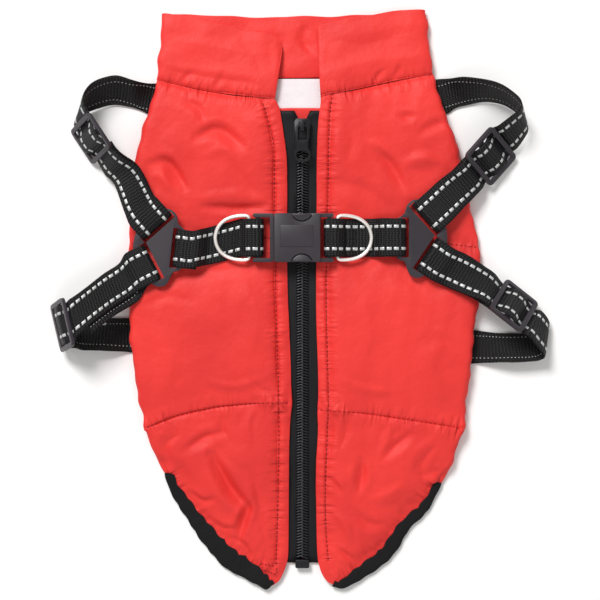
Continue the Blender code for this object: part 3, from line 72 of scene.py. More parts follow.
def add(tree, kind, inputs=(), **settings):
    """A shader node with its settings and its inputs' values or links."""
    made = tree.nodes.new("ShaderNode" + kind)
    for name, value in settings.items():
        setattr(made, name, value)
    for socket, value in dict(inputs).items():
        give(made.inputs[socket], value)
    return made


def dress(shader, **sockets):
    """Give the shader's own sockets their values, or the nodes that vary them."""
    for socket, value in sockets.items():
        give(shader.inputs[socket.replace("_", " ")], value)


def finish_of(name, **sockets):
    """A material, its node tree and its shader."""
    made = bpy.data.materials.new(name)
    made.use_nodes = True
    shader = made.node_tree.nodes["Principled BSDF"]
    dress(shader, **sockets)
    return made, made.node_tree, shader


def coated_pongee():
    """Plain-woven polyester with a soft calendered shine, a little crumpled all over."""
    made, tree, shader = finish_of("coated_pongee", Roughness=0.55, Specular_IOR_Level=0.27, Sheen_Weight=0.1,
                                   Sheen_Roughness=0.4, Sheen_Tint="#FF5A50")
    place = add(tree, "TexCoord").outputs["Object"]
    cloud = add(tree, "TexNoise", {"Vector": place, "Scale": 22.0, "Detail": 3.0, "Roughness": 0.5})
    tone = add(tree, "MapRange", {"Value": cloud, "From Min": 0.35, "From Max": 0.65})
    colour = add(tree, "Mix", {"Factor": tone, "A": SHELL_SHADE, "B": SHELL_RED}, data_type='RGBA')
    crumple = add(tree, "TexNoise", {"Vector": place, "Scale": 70.0, "Detail": 4.0, "Roughness": 0.55})
    crinkle = add(tree, "TexNoise", {"Vector": place, "Scale": 75.0, "Detail": 2.5, "Roughness": 0.5},
                  noise_type='RIDGED_MULTIFRACTAL')
    warp, weft = (add(tree, "TexWave", {"Vector": place, "Scale": WAVE_REPEAT / (THREAD_PITCH * MM)},
                      bands_direction=way).outputs["Fac"] for way in "XY")
    weave = add(tree, "Math", {0: warp, 1: weft}, operation='MAXIMUM')
    # gathers beside the seams: streaks across them, from the distance to the nearest seam and along it
    beside_seam = add(tree, "SeparateXYZ",
                      {"Vector": add(tree, "Attribute", attribute_name="seam").outputs["Vector"]}).outputs
    across = add(tree, "Math", {0: beside_seam["X"], 1: 0.045}, operation='MULTIPLY')
    along = add(tree, "Math", {0: beside_seam["Y"], 1: 0.24}, operation='MULTIPLY')
    streak = add(tree, "TexNoise", {"Vector": add(tree, "CombineXYZ", {"X": across, "Y": along}), "Scale": 1.0,
                                    "Detail": 2.0, "Roughness": 0.45})
    drawn = add(tree, "MapRange", {"Value": streak, "From Min": 0.36, "From Max": 0.6},
                interpolation_type='SMOOTHSTEP')
    gather = add(tree, "Math", {0: drawn, 1: beside_seam["Z"]}, operation='MULTIPLY')
    pinch = add(tree, "Bump", {"Height": gather, "Strength": 1.0, "Distance": 1.1 * MM})
    soft = add(tree, "Bump", {"Height": crumple, "Normal": pinch, "Strength": 1.0, "Distance": 1.1 * MM})
    small = add(tree, "Bump", {"Height": crinkle, "Normal": soft, "Strength": 0.35, "Distance": 0.3 * MM})
    fine = add(tree, "Bump", {"Height": weave, "Normal": small, "Strength": 0.15, "Distance": 0.06 * MM})
    dress(shader, Base_Color=colour, Normal=fine)
    return made


PONGEE = coated_pongee()


def place_piece(piece, finish, slot, *nodes, body="root"):
    """Give a finished piece its material, its body and the solids it stands for."""
    piece.data.materials.clear()
    piece.data.materials.append(finish)
    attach(piece, body)
    if nodes:
        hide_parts(*nodes)


def only(piece):
    """Select one piece and make it the active one."""
    bpy.ops.object.select_all(action='DESELECT')
    bpy.context.view_layer.objects.active = piece
    piece.select_set(True)


def apply(piece, kind, **settings):
    """Add a modifier and apply it."""
    only(piece)
    step = piece.modifiers.new(kind.lower(), kind)
    for name, value in settings.items():
        setattr(step, name, value)
    bpy.ops.object.modifier_apply(modifier=step.name)


def merged_copy(node, name, flats=False):
    """A solid's copy with its points merged, and its triangles joined up into quads or into whole flats."""
    piece = bpy.data.objects.new(name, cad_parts[node].data.copy())
    bpy.context.scene.collection.objects.link(piece)
    only(piece)
    bpy.ops.object.mode_set(mode='EDIT')
    bpy.ops.mesh.select_all(action='SELECT')
    bpy.ops.mesh.remove_doubles(threshold=1e-6)
    if flats:
        bpy.ops.mesh.dissolve_limited(angle_limit=math.radians(1.5))
    else:
        bpy.ops.mesh.tris_convert_to_quads(face_threshold=math.radians(75), shape_threshold=math.radians(180))
    bpy.ops.object.mode_set(mode='OBJECT')
    return piece


def sewn_copy(node, name, level, edge=0.9):
    """A cloth solid's copy, its cut edges creased and its faces subdivided."""
    piece = merged_copy(node, name)
    build = bmesh.new()
    build.from_mesh(piece.data)
    crease = build.edges.layers.float.new("crease_edge")
    for e in build.edges:
        if len(e.link_faces) == 2 and e.calc_face_angle(0) > math.radians(48):
            e[crease] = edge
    build.to_mesh(piece.data)
    build.free()
    apply(piece, 'SUBSURF', levels=level, render_levels=level)
    bpy.ops.object.shade_smooth()
    return piece


def points_of(piece):
    """A piece's points and normals, in millimetres."""
    count = len(piece.data.vertices)
    places, normals = np.zeros(count * 3), np.zeros(count * 3)
    piece.data.vertices.foreach_get("co", places)
    piece.data.vertices.foreach_get("normal", normals)
    return places.reshape(-1, 3) / MM, normals.reshape(-1, 3)


def move_points(piece, places):
    """Put a piece's points at places in millimetres."""
    piece.data.vertices.foreach_set("co", (places * MM).ravel())
    piece.data.update()


def curve_through(points, steps=6):
    """A smooth line through points in plan."""
    ring = [tuple(2 * a - b for a, b in zip(points[0], points[1]))] + list(points)
    ring.append(tuple(2 * a - b for a, b in zip(points[-1], points[-2])))
    found = []
    for p0, p1, p2, p3 in zip(ring, ring[1:], ring[2:], ring[3:]):
        for s in range(steps):
            t = s / steps
            found.append(tuple(0.5 * (2 * b + (c - a) * t + (2 * a - 5 * b + 4 * c - d) * t * t
                                      + (3 * b - a - 3 * c + d) * t ** 3)
                               for a, b, c, d in zip(p0, p1, p2, p3)))
    return found + [tuple(points[-1])]


# Where points lie beside a line in plan: the distance (below 0 on its right), how far along it, and its length.
Beside = namedtuple("Beside", "away along run")


def beside(places, points, steps=6):
    """Where places lie beside the smooth line through points."""
    line = curve_through(points, steps)
    x, y = places[:, 0], places[:, 1]
    away = np.full(len(places), 1e9)
    along = np.zeros(len(places))
    run = 0.0
    for (x0, y0), (x1, y1) in zip(line, line[1:]):
        length = math.hypot(x1 - x0, y1 - y0)
        t = np.clip(((x - x0) * (x1 - x0) + (y - y0) * (y1 - y0)) / length ** 2, 0, 1)
        d = np.hypot(x - x0 - (x1 - x0) * t, y - y0 - (y1 - y0) * t)
        d *= np.where((x1 - x0) * (y - y0) - (y1 - y0) * (x - x0) < 0, -1, 1)
        nearer = np.abs(d) < np.abs(away)
        away[nearer] = d[nearer]
        along[nearer] = (run + t * length)[nearer]
        run += length
    return Beside(away, along, run)


def folded(places, folds):
    """Height that the folds add: each is steep on one side, with a low lip on the other, and dies out."""
    total = np.zeros(len(places))
    for x0, y0, x1, y1, x2, y2, depth, width in folds:
        by = beside(places, [(x0, y0), (x1, y1), (x2, y2)], 5)
        ends = np.sin(np.pi * np.clip(0.06 + 0.88 * by.along / by.run, 0, 1)) ** 0.8
        d = by.away / (width * (0.42 + 0.3 * ends))
        steep = np.exp(-np.abs(d / 0.6) ** 1.35)
        gentle = np.exp(-np.abs(d / 1.1) ** 1.25)
        lips = 0.34 * np.exp(-((d + 1.9) ** 2) * 1.3) + 0.2 * np.exp(-((d - 1.3) ** 2) * 3.0)
        total += depth * ends * (np.where(d > 0, steep, gentle) - lips)
    return total


def drift(places, seed, length, height):
    """Slow rise and fall of wadding in all directions."""
    dice = random.Random(seed)
    total = np.zeros(len(places))
    for k in range(7):
        turn, phase = dice.uniform(0, 3.14), dice.uniform(0, 6.28)
        step = length * dice.uniform(0.7, 1.5)
        along = places[:, 0] * math.cos(turn) + places[:, 1] * math.sin(turn)
        total += np.sin(2 * np.pi * along / step + phase)
    return total * height / 7 ** 0.5


# A soft fold's row: the three places that its curved line runs through, its depth (below 0 a trough) and width.
BELLY_FOLDS = [(-60, 8, -20, 14, 30, 6, 0.5, 7), (-30, -60, 5, -52, 45, -58, 0.45, 8),
               (-20, 100, 6, 92, 34, 99, 0.5, 7), (10, 60, 16, 30, 8, 4, 0.4, 6)]
belly = sewn_copy("belly_panel", "belly_panel_cloth", 2)
places, normals = points_of(belly)
below = normals[:, 2] < -0.5
rise = np.clip(folded(places, BELLY_FOLDS) + drift(places, 3, 34, 0.12), 0, 0.7)
places[below, 2] += rise[below]
move_points(belly, places)
place_piece(belly, PONGEE, "shell", "belly_panel")


def mottled(name, shade, light, cloud, grain, strength, depth, **sockets):
    """A finish whose shade drifts in soft clouds, with a fine grain in its relief."""
    made, tree, shader = finish_of(name, **sockets)
    place = add(tree, "TexCoord").outputs["Object"]
    clouds = add(tree, "TexNoise", {"Vector": place, "Scale": cloud})
    grains = add(tree, "TexNoise", {"Vector": place, **grain})
    dress(shader, Base_Color=add(tree, "Mix", {"Factor": clouds, "A": shade, "B": light}, data_type='RGBA'),
          Normal=add(tree, "Bump", {"Height": grains, "Strength": strength, "Distance": depth * MM}))
    return made


# woven polyester tape: fine ribs brushed soft, so it is dull, with a faint blue cast
WOVEN_TAPE = mottled("woven_tape", "#08080A", "#101012", 60.0, {"Scale": 700.0}, 0.5, 0.15, Roughness=0.72,
                     Specular_IOR_Level=0.22, Sheen_Weight=0.08, Sheen_Roughness=0.5, Sheen_Tint="#8A8C96")
for hand in ("left", "right"):
    tape = sewn_copy("leg_binding_" + hand, "leg_tape_" + hand, 2, 0.7)
    place_piece(tape, WOVEN_TAPE, "binding", "leg_binding_" + hand)
tape = sewn_copy("hem_binding_belly", "belly_hem_tape", 2, 0.7)
place_piece(tape, WOVEN_TAPE, "binding", "hem_binding_belly")

# ==== Straps ====
# Four lengths of 25 mm polypropylene webbing, sewn across the belly and led round to the back.
# Reflective yarn is woven in as two rows of dashes on the face; each end is doubled back through a tri-glide.
WEBBING_THICK = 1.3
DASH_ROW = 7.25                 # from the webbing's middle to a row of dashes
RIB_PITCH = 2.1                 # the real 0.8 mm rib is too fine to show
YARN_PITCH = 0.6
ACROSS = 14                     # faces across the webbing's face
Section = namedtuple("Section", "centre half normal run")


def webbing_yarn_painted_light():
    """Shiny polypropylene yarn in a tight rib weave: dark, its crowns along the ribs painted lighter and its
    hollows darker, as painted highlight and shade.
    """
    made, tree, shader = finish_of("webbing_yarn_painted_light", Roughness=0.5, Specular_IOR_Level=0.25, Sheen_Weight=0.04,
                                   Sheen_Tint="#9A9CA6")
    split = add(tree, "SeparateXYZ", {"Vector": add(tree, "UVMap", uv_map="webbing")}).outputs
    zigzag = add(tree, "Math", {0: split["X"], 1: 4 * YARN_PITCH}, operation='PINGPONG')
    lean = add(tree, "Math", {0: zigzag, 1: 0.2}, operation='MULTIPLY')
    slanted = add(tree, "Math", {0: split["Y"], 1: lean}, operation='ADD')
    rib = add(tree, "Math", {0: slanted, 1: RIB_PITCH / 2}, operation='PINGPONG')
    yarn = add(tree, "Math", {0: split["X"], 1: YARN_PITCH}, operation='PINGPONG')
    weave = add(tree, "Math", {0: rib, 1: yarn}, operation='MULTIPLY')
    # painted light: the colour runs from near black in the weave's hollows to grey on its crowns, standing in for
    # the shade and highlight of the ribs
    tone = add(tree, "MapRange", {"Value": weave, "From Min": 0.12, "From Max": 0.62})
    colour = add(tree, "Mix", {"Factor": tone, "A": "#040405", "B": "#2A282C"}, data_type='RGBA')
    relief = add(tree, "Bump", {"Height": weave, "Strength": 1.0, "Distance": 0.8 * MM})
    dress(shader, Base_Color=colour, Normal=relief)
    return made


def reflective_yarn():
    """Silver-grey yarn with glass beads, matte from the side and bright towards the light."""
    made, tree, shader = finish_of("reflective_yarn", Roughness=0.38, Specular_IOR_Level=0.6, Metallic=0.25)
    grain = add(tree, "TexNoise", {"Vector": add(tree, "TexCoord").outputs["Object"], "Scale": 900.0})
    colour = add(tree, "Mix", {"Factor": grain, "A": "#9FA1A0", "B": "#D9DBD8"}, data_type='RGBA')
    dress(shader, Base_Color=colour)
    return made


WEBBING_YARN_PAINTED_LIGHT = webbing_yarn_painted_light()
REFLECTIVE_YARN = reflective_yarn()


def sections_of(node, from_outside):
    """The sections of a webbing solid in millimetres, from the end nearest the middle or the outside.
    Its face's normals follow it all the way; at the first section they point down."""
    build = bmesh.new()
    build.from_mesh(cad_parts[node].data)
    bmesh.ops.remove_doubles(build, verts=build.verts, dist=1e-6)
    linked = {v: {e.other_vert(v) for e in v.link_edges} for v in build.verts}
    caps = []
    for e in build.edges:
        four = {v for f in e.link_faces for v in f.verts}
        if len(set.union(*(linked[v] for v in four)) - four) == 4 and four not in caps:
            caps.append(four)
    caps.sort(key=lambda four: abs(sum(v.co.x for v in four)), reverse=from_outside)
    rings, seen = [caps[0]], set(caps[0])
    while True:
        after = set.union(*(linked[v] for v in rings[-1])) - seen
        if not after:
            break
        rings.append(after)
        seen |= after
    found = []
    for ring in rings:
        spots = sorted((v.co / MM for v in ring), key=lambda p: (round(p.x, 5), round(p.y, 5), p.z))
        near = min(spots[1:], key=lambda p: (p - spots[0]).length)
        far = [p for p in spots if p is not spots[0] and p is not near]
        one, two = (spots[0] + near) / 2, (far[0] + far[1]) / 2
        half = (one - two) / 2
        if found and half.dot(found[-1][1]) < 0:
            half = -half
        found.append(((one + two) / 2, half, (spots[0] - near).normalized()))
    build.free()
    centres = [f[0] for f in found]
    travel = [(centres[min(k + 1, len(found) - 1)] - centres[max(k - 1, 0)]) for k in range(len(found))]
    first = found[0][2] if found[0][2].z < 0 else -found[0][2]
    hand = found[0][1].cross(first).dot(travel[0])
    sections, run = [], 0.0
    for k, (centre, half, normal) in enumerate(found):
        if half.cross(normal).dot(travel[k]) * hand < 0:
            normal = -normal
        run += (centre - centres[k - 1]).length if k else 0
        sections.append(Section(centre, half, normal, run))
    return sections


def evenly(sections, step=1.1):
    """The sections again, closer together and on a smooth line."""
    runs = np.array([s.run for s in sections])
    values = np.array([[*s.centre, *s.half, *s.normal] for s in sections])
    slopes = np.gradient(values, runs, axis=0)
    found = []
    for goal in np.linspace(0, runs[-1], int(runs[-1] / step) + 1):
        k = min(len(runs) - 2, max(0, int(np.searchsorted(runs, goal, side='right')) - 1))
        gap = runs[k + 1] - runs[k]
        t = (goal - runs[k]) / gap
        a = 2 * t ** 3 - 3 * t * t + 1
        row = (a * values[k] + (t ** 3 - 2 * t * t + t) * gap * slopes[k] + (1 - a) * values[k + 1]
               + (t ** 3 - t * t) * gap * slopes[k + 1])
        found.append(Section(Vector(row[:3]), Vector(row[3:6]), Vector(row[6:9]).normalized(), float(goal)))
    return found


def waves(along, seed, lengths):
    """A smooth uneven wave from a few wavelengths, about -1 to 1."""
    dice = random.Random(seed)
    total = np.zeros(len(along))
    for length in lengths:
        total += np.sin(2 * np.pi * along / (length * dice.uniform(0.85, 1.18)) + dice.uniform(0, 6.28))
    return total / len(lengths) ** 0.5


def mesh_piece(name, vertices, faces):
    """A piece from points in millimetres, shaded smooth."""
    mesh = bpy.data.meshes.new(name)
    mesh.from_pydata([Vector(v) * MM for v in vertices], [], faces)
    mesh.update()
    piece = bpy.data.objects.new(name, mesh)
    bpy.context.scene.collection.objects.link(piece)
    for p in mesh.polygons:
        p.use_smooth = True
    return piece


def tube(first, count, rings):
    """The faces round a row of rings, each of so many points numbered on from the first, and the two ends."""
    starts = range(first, first + (rings - 1) * count, count)
    faces = [(s + j, s + (j + 1) % count, s + count + (j + 1) % count, s + count + j)
             for s in starts for j in range(count)]
    last = first + (rings - 1) * count
    return faces + [tuple(range(first, first + count))[::-1], tuple(range(last, last + count))]


def webbing_piece(name, sections, seed):
    """Webbing with rounded selvedges that wander a little, and its length and width as a UV map."""
    profile = [(2 * k / ACROSS - 1, 1.0) for k in range(1, ACROSS)]
    profile = [(-1.0, 0.0), (-0.99, 0.75)] + profile + [(0.99, 0.75), (1.0, 0.0)]
    profile += [(s, -z) for s, z in profile[-2:0:-1]]
    wander = waves(np.array([s.run for s in sections]), seed, (19.0, 33.0, 57.0)) * 0.12
    vertices, marks = [], []
    for k, s in enumerate(sections):
        side = s.half.normalized()
        for across, up in profile:
            edge = abs(across) ** 6
            lift = s.normal * (up * WEBBING_THICK / 2 * (1 - 0.22 * edge) + wander[k] * edge * 0.8)
            vertices.append(s.centre + s.half * across + side * across * wander[k] * 0.7 + lift)
            marks.append((across * s.half.length, s.run))
    piece = mesh_piece(name, vertices, tube(0, len(profile), len(sections)))
    only(piece)
    bpy.ops.object.mode_set(mode='EDIT')
    bpy.ops.mesh.select_all(action='SELECT')
    bpy.ops.mesh.normals_make_consistent(inside=False)
    bpy.ops.object.mode_set(mode='OBJECT')
    chart = piece.data.uv_layers.new(name="webbing")
    for loop in piece.data.loops:
        chart.data[loop.index].uv = marks[loop.vertex_index]
    return piece


Dash = namedtuple("Dash", "length width pitch high")
WOVEN_DASH = Dash(3.4, 2.1, 4.75, 0.3)
BACK_SPECK = Dash(1.0, 0.45, 2.375, 0.16)       # where the reflective yarn is caught down, on the reverse
DASH_RISE = ((0, 0), (0.1, 1), (0.5, 1), (0.9, 1), (1, 0))      # along a dash, and its height there
DASH_SECTION = ((-1, 0), (-0.82, 1), (0.82, 1), (1, 0))         # across it, and its height there


def dashes(name, sections, kind=WOVEN_DASH, ways=(1,), rows=(-DASH_ROW, DASH_ROW), start=2.0, stop=None):
    """Rows of dashes on a length of webbing, as one mesh of small raised pads; way 1 is its face."""
    runs = np.array([s.run for s in sections])
    values = np.array([[*s.centre, *s.half, *s.normal] for s in sections])
    vertices, faces = [], []
    for way in ways:
        for row in rows:
            run = start
            while run + kind.length < (stop or runs[-1]):
                first = len(vertices)
                for step, tall in DASH_RISE:
                    spot = [np.interp(run + kind.length * step, runs, values[:, c]) for c in range(9)]
                    centre, side, normal = Vector(spot[:3]), Vector(spot[3:6]), Vector(spot[6:])
                    for across, up in DASH_SECTION:
                        lift = way * (WEBBING_THICK / 2 - 0.12 + kind.high * up * tall)
                        wide = row + kind.width / 2 * across
                        vertices.append(centre + side.normalized() * wide + normal.normalized() * lift)
                faces += [face[::way] for face in tube(first, len(DASH_SECTION), len(DASH_RISE))]
                run += kind.pitch
    return mesh_piece(name, vertices, faces)


TURNED_STRAP = "belly_strap_left"       # its reverse shows a row of dashes too, just before the tri-glide
TURNED_FROM, TURNED_TO, TURNED_BELOW = -150, -128, 6
for seed, node in enumerate(("chest_strap_left", "chest_strap_right", TURNED_STRAP, "belly_strap_right")):
    line = evenly(sections_of(node, from_outside=False))
    strap = webbing_piece(node + "_webbing", line, 40 + seed)
    place_piece(strap, WEBBING_YARN_PAINTED_LIGHT, "webbing", node)
    woven = [dashes(node + "_dashes", line), dashes(node + "_specks", line, BACK_SPECK, ways=(-1,))]
    if node == TURNED_STRAP:
        shown = [s for s in line if s.centre.z < TURNED_BELOW and TURNED_FROM < s.centre.x < TURNED_TO]
        row = math.copysign(DASH_ROW, shown[0].half.y)
        woven.append(dashes(node + "_turned_dashes", line, ways=(-1,), rows=(row,), start=shown[0].run,
                            stop=shown[-1].run))
    for rows in woven:
        place_piece(rows, REFLECTIVE_YARN, "webbing")

# ==== Lining ====
# White brushed polyester behind the wadding. It shows only in the neck, between the collar's fronts.
# It is sewn in with the collar seam.
LINING_FOLDS = [(-16, 141, -3, 138, 12, 142, 0.5, 3.5), (-12, 131, -4, 133, 6, 129, -0.35, 2.6)]


def around(places, x, y, wide, long=None):
    """1 at a spot in plan, dying away over a reach in millimetres."""
    return np.exp(-np.hypot((places[:, 0] - x) / wide, (places[:, 1] - y) / (long or wide)) ** 2)


lining = sewn_copy("lining_patch", "lining_cloth", 3, 0.9)
places, normals = points_of(lining)
upper = normals[:, 2] > 0.5
places[upper, 2] += (drift(places, 8, 17, 0.16) + folded(places, LINING_FOLDS))[upper]
corner = around(places, -13, 127, 4.5, 5)
places[:, 1] -= 3.6 * corner
places[:, 2] += 1.2 * corner
move_points(lining, places)
# brushed polyester: a soft nap that scatters the light, so that it looks white without any shine
brushed = mottled("brushed_lining", "#D8CFD2", "#EAE2E3", 90.0, {"Scale": 520.0, "Detail": 3.0, "Roughness": 0.6},
                  0.6, 0.3, Roughness=0.85, Sheen_Weight=0.5, Sheen_Roughness=0.6)
place_piece(lining, brushed, "lining", "lining_patch")

# ==== Back panels ====
# Padded pongee, quilted through along the harness and again above the hem, so that it stands in three puffs.
# Each panel is one piece from the zip, round the side, to the side seam under the coat.
COLLAR_SEAM = {"left": [(-17, 131.5), (-42, 134), (-67, 137.8), (-94, 144)],
               "right": [(13, 133.8), (36, 137.4), (62, 143.3), (88, 147.7)]}
QUILT_BAND = {"left": [(-9, 40.8), (-60, 39.5), (-111, 33)], "right": [(11, 41.8), (62, 41), (116, 34.7)]}
QUILT_HEM = {"left": [(-7, -67.3), (-32, -67.6), (-56, -70), (-83, -76), (-101, -84)],
             "right": [(12, -71.9), (39, -74), (66, -77.9), (93, -82), (106, -84.5)]}
PLACKET_STITCH = {"left": [(-24.6, 130), (-20.9, 117.5), (-17.2, 99.9), (-16.7, 66.7), (-15.8, 0), (-13.9, -67.3),
                           (-14.5, -132), (-15.8, -174.9)],
                  "right": [(21.1, 134.1), (19.1, 114.8), (18.3, 66.7), (17.2, 0), (18.5, -67.3), (16.5, -132),
                            (18.5, -171.6)]}
PLACKET_EDGE = {"left": [(-12.3, 119.5), (-8.8, 96), (-8.4, 17), (-5.9, -46), (-7.3, -117), (-7.6, -165)],
                "right": [(11.9, 119.3), (10.9, 66.7), (10.6, -14.5), (11.9, -60), (10.6, -132), (11.2, -165)]}
HEM_LINE = {"left": [(-86, -113), (-78, -128), (-66, -145), (-48, -163), (-33, -172), (-17, -181)],
            "right": [(88, -120), (78, -135), (62, -152), (49, -168), (33, -180), (21, -184)]}
BACK_FOLDS = {
    "left": [(-68, 107, -53, 112, -37, 101, -1.5, 6), (-98, 90, -86, 90, -75, 74, -1.5, 5.5),
             (-97, 82, -90, 80, -84, 70, 0.8, 5), (-63, 61.5, -40, 60, -22, 62, -1.1, 5),
             (-70, 66, -45, 69, -24, 66, 0.5, 6), (-60, 97, -50, 99, -42, 93, 0.5, 6),
             (-82, 128, -70, 120, -60, 108, 0.45, 7), (-48, 92, -36, 78, -30, 66, -0.5, 7),
             (-76, -99, -63, -90, -50, -86, -0.8, 5), (-57, -102, -45, -124, -33, -137, -1.9, 6),
             (-33, -135, -37, -146, -41, -158, -1.7, 4.5), (-46, -108, -34, -122, -26, -140, 0.7, 6),
             (-62, -143, -52, -150, -43, -150, -1.0, 4.5), (-73, -126, -64, -132, -56, -130, -0.8, 4),
             (-46, -156, -38, -160, -32, -168, -0.8, 3.5), (-30, -110, -26, -140, -22, -160, -0.45, 4),
             (-94, -20, -84, -40, -88, -58, 0.4, 8), (-40, 20, -28, -10, -34, -40, 0.35, 11),
             (-80, -88, -88, -96, -84, -108, -0.7, 5), (-52, -76, -50, -86, -46, -92, -0.5, 4),
             (-30, -72, -34, -82, -32, -94, 0.4, 4), (-92, 12, -70, 20, -40, 20, -0.5, 6),
             (-104, -4, -86, 3, -70, -1, -0.4, 4), (-62, -52, -44, -56, -24, -51, 0.4, 4),
             (-32, -52, -26, -58, -19, -60, -0.4, 3), (-74, 130, -66, 126, -63, 117, -0.5, 4)],
    "right": [(52, 97, 60, 88, 68, 74, -1.2, 5.5), (70, 90, 80, 93, 92, 91, 1.0, 6),
              (79, 110, 88, 115, 97, 117, -0.9, 5), (65, 121, 70, 120, 75, 121, -0.8, 4),
              (24, 78, 44, 72, 60, 60, -0.6, 7), (44, 104, 52, 101, 60, 96, 0.5, 6),
              (30, 116, 34, 104, 30, 90, -0.35, 7), (41, -106, 41, -116, 39, -125, -1.2, 5),
              (54, -104, 63, -95, 72, -88, -0.65, 4.5), (18.5, -116.5, 24, -122, 28, -127, -0.7, 3.5),
              (25, -163, 31, -168, 37, -173, -0.8, 3.5), (48, -130, 56, -128, 66, -122, 0.5, 6),
              (34, -136, 44, -146, 56, -148, -0.6, 5), (88, -96, 80, -108, 82, -120, -0.6, 5),
              (60, 20, 80, 10, 100, 12, -0.5, 7), (28, -52, 44, -58, 62, -60, 0.35, 4),
              (100, -30, 92, -26, 84, -30, -0.4, 4), (40, 10, 46, -20, 40, -44, 0.35, 11),
              (92, -20, 86, -44, 92, -62, 0.4, 8), (32, -76, 30, -88, 26, -98, -0.45, 4),
              (60, -80, 58, -90, 54, -98, 0.4, 4), (22, -140, 30, -146, 34, -156, 0.5, 4)]}
FOLD_RISE = 2.2                 # the folds stand this many times as high as their rows say
BAND_MIDDLE = 38.5
BAND_REACH = 15.0


def tree_of(*pieces):
    """A search tree over finished pieces, in millimetres."""
    vertices, faces = [], []
    for piece in pieces:
        start = len(vertices)
        vertices += [v.co / MM for v in piece.data.vertices]
        faces += [tuple(start + i for i in p.vertices) for p in piece.data.polygons]
    return BVHTree.FromPolygons(vertices, faces)


def seen_from(piece, places, normals, way):
    """Which points have nothing of their own piece above them (way 1) or below (way -1)."""
    tree = tree_of(piece)
    found = np.zeros(len(places), bool)
    up = Vector((0, 0, way))
    for k in np.nonzero(normals[:, 2] * way > 0.08)[0]:
        start = Vector(places[k]) + up * 0.25
        found[k] = tree.ray_cast(start, up)[0] is None
    return found


def puckers(places, points, seed, height, reach, lengths=(5.1, 8.3, 13.7)):
    """Small gathers that run out from a seam."""
    by = beside(places, points)
    away = np.abs(by.away)
    skew = waves(by.along, seed + 50, (37,)) * 0.5
    strength = 0.55 + 0.45 * waves(by.along, seed + 9, (31, 53))
    wave = 0.7 - 1.5 * np.exp(-((waves(by.along + away * skew, seed, lengths) - 1) / 0.55) ** 2)
    return height * wave * strength * np.exp(-(away / reach) ** 1.3) * (1 - np.exp(-(away / 1.2) ** 2) * 0.5)


def swell(places, points, height, width):
    """The cloth raised along a line, or drawn in by its stitches where the height is below 0."""
    return height * np.exp(-(beside(places, points).away / width) ** 2)


def mark_seams(piece, places, seams):
    """Keep each point's distance to the nearest seam, how far along it, and how strongly it is gathered."""
    nearest, second = np.full(len(places), 99.0), np.full(len(places), 99.0)
    along_it = np.zeros(len(places))
    for k, seam in enumerate(seams):
        by = beside(places, seam)
        away = np.abs(by.away)
        closer = away < nearest
        second = np.where(closer, nearest, np.minimum(second, away))
        nearest[closer] = away[closer]
        along_it[closer] = by.along[closer] + 500 * k
    uneven = np.clip(0.65 + 0.5 * waves(along_it, 77, (23, 41)), 0.2, 1)
    held = np.clip(1 - nearest / 8.5, 0, 1) * np.clip((second - nearest) / 4, 0, 1) * uneven
    kept = piece.data.attributes.new("seam", 'FLOAT_VECTOR', 'POINT')
    kept.data.foreach_set("vector", np.column_stack([nearest, along_it, held]).ravel())


def pressed_by_band(places):
    """1 away from the harness band and the connectors, 0 beneath them."""
    away = np.abs(places[:, 1] - BAND_MIDDLE) - BAND_REACH
    outer = np.clip((np.abs(places[:, 0]) - 72) / 12, 0, 1) * 14
    return np.clip((away - outer) / 5, 0, 1)


def push_out(places, normals, top, rise):
    """Raise the upper cloth along its normals, and less where it turns down at its sides."""
    shift = rise * np.clip(normals[:, 2] * 1.3, 0, 1)
    places[top] += (normals * shift[:, None])[top]


def wander_sides(places, seed):
    """The outline at the sides, made a little uneven as padded cloth is."""
    rows = np.round(places[:, 1] / 3).astype(int)
    rows -= rows.min()
    for sign in (-1, 1):
        outward = sign * places[:, 0]
        reach = np.full(rows.max() + 1, 1.0)
        np.maximum.at(reach, rows, outward)
        level = np.interp(places[:, 1], np.arange(len(reach)) * 3.0 + places[:, 1].min(), reach)
        near = np.clip(1 - (level - outward) / 13, 0, 1) * (outward > 60)
        places[:, 0] += sign * 0.55 * near * waves(places[:, 1], seed + sign, (13, 22, 37))


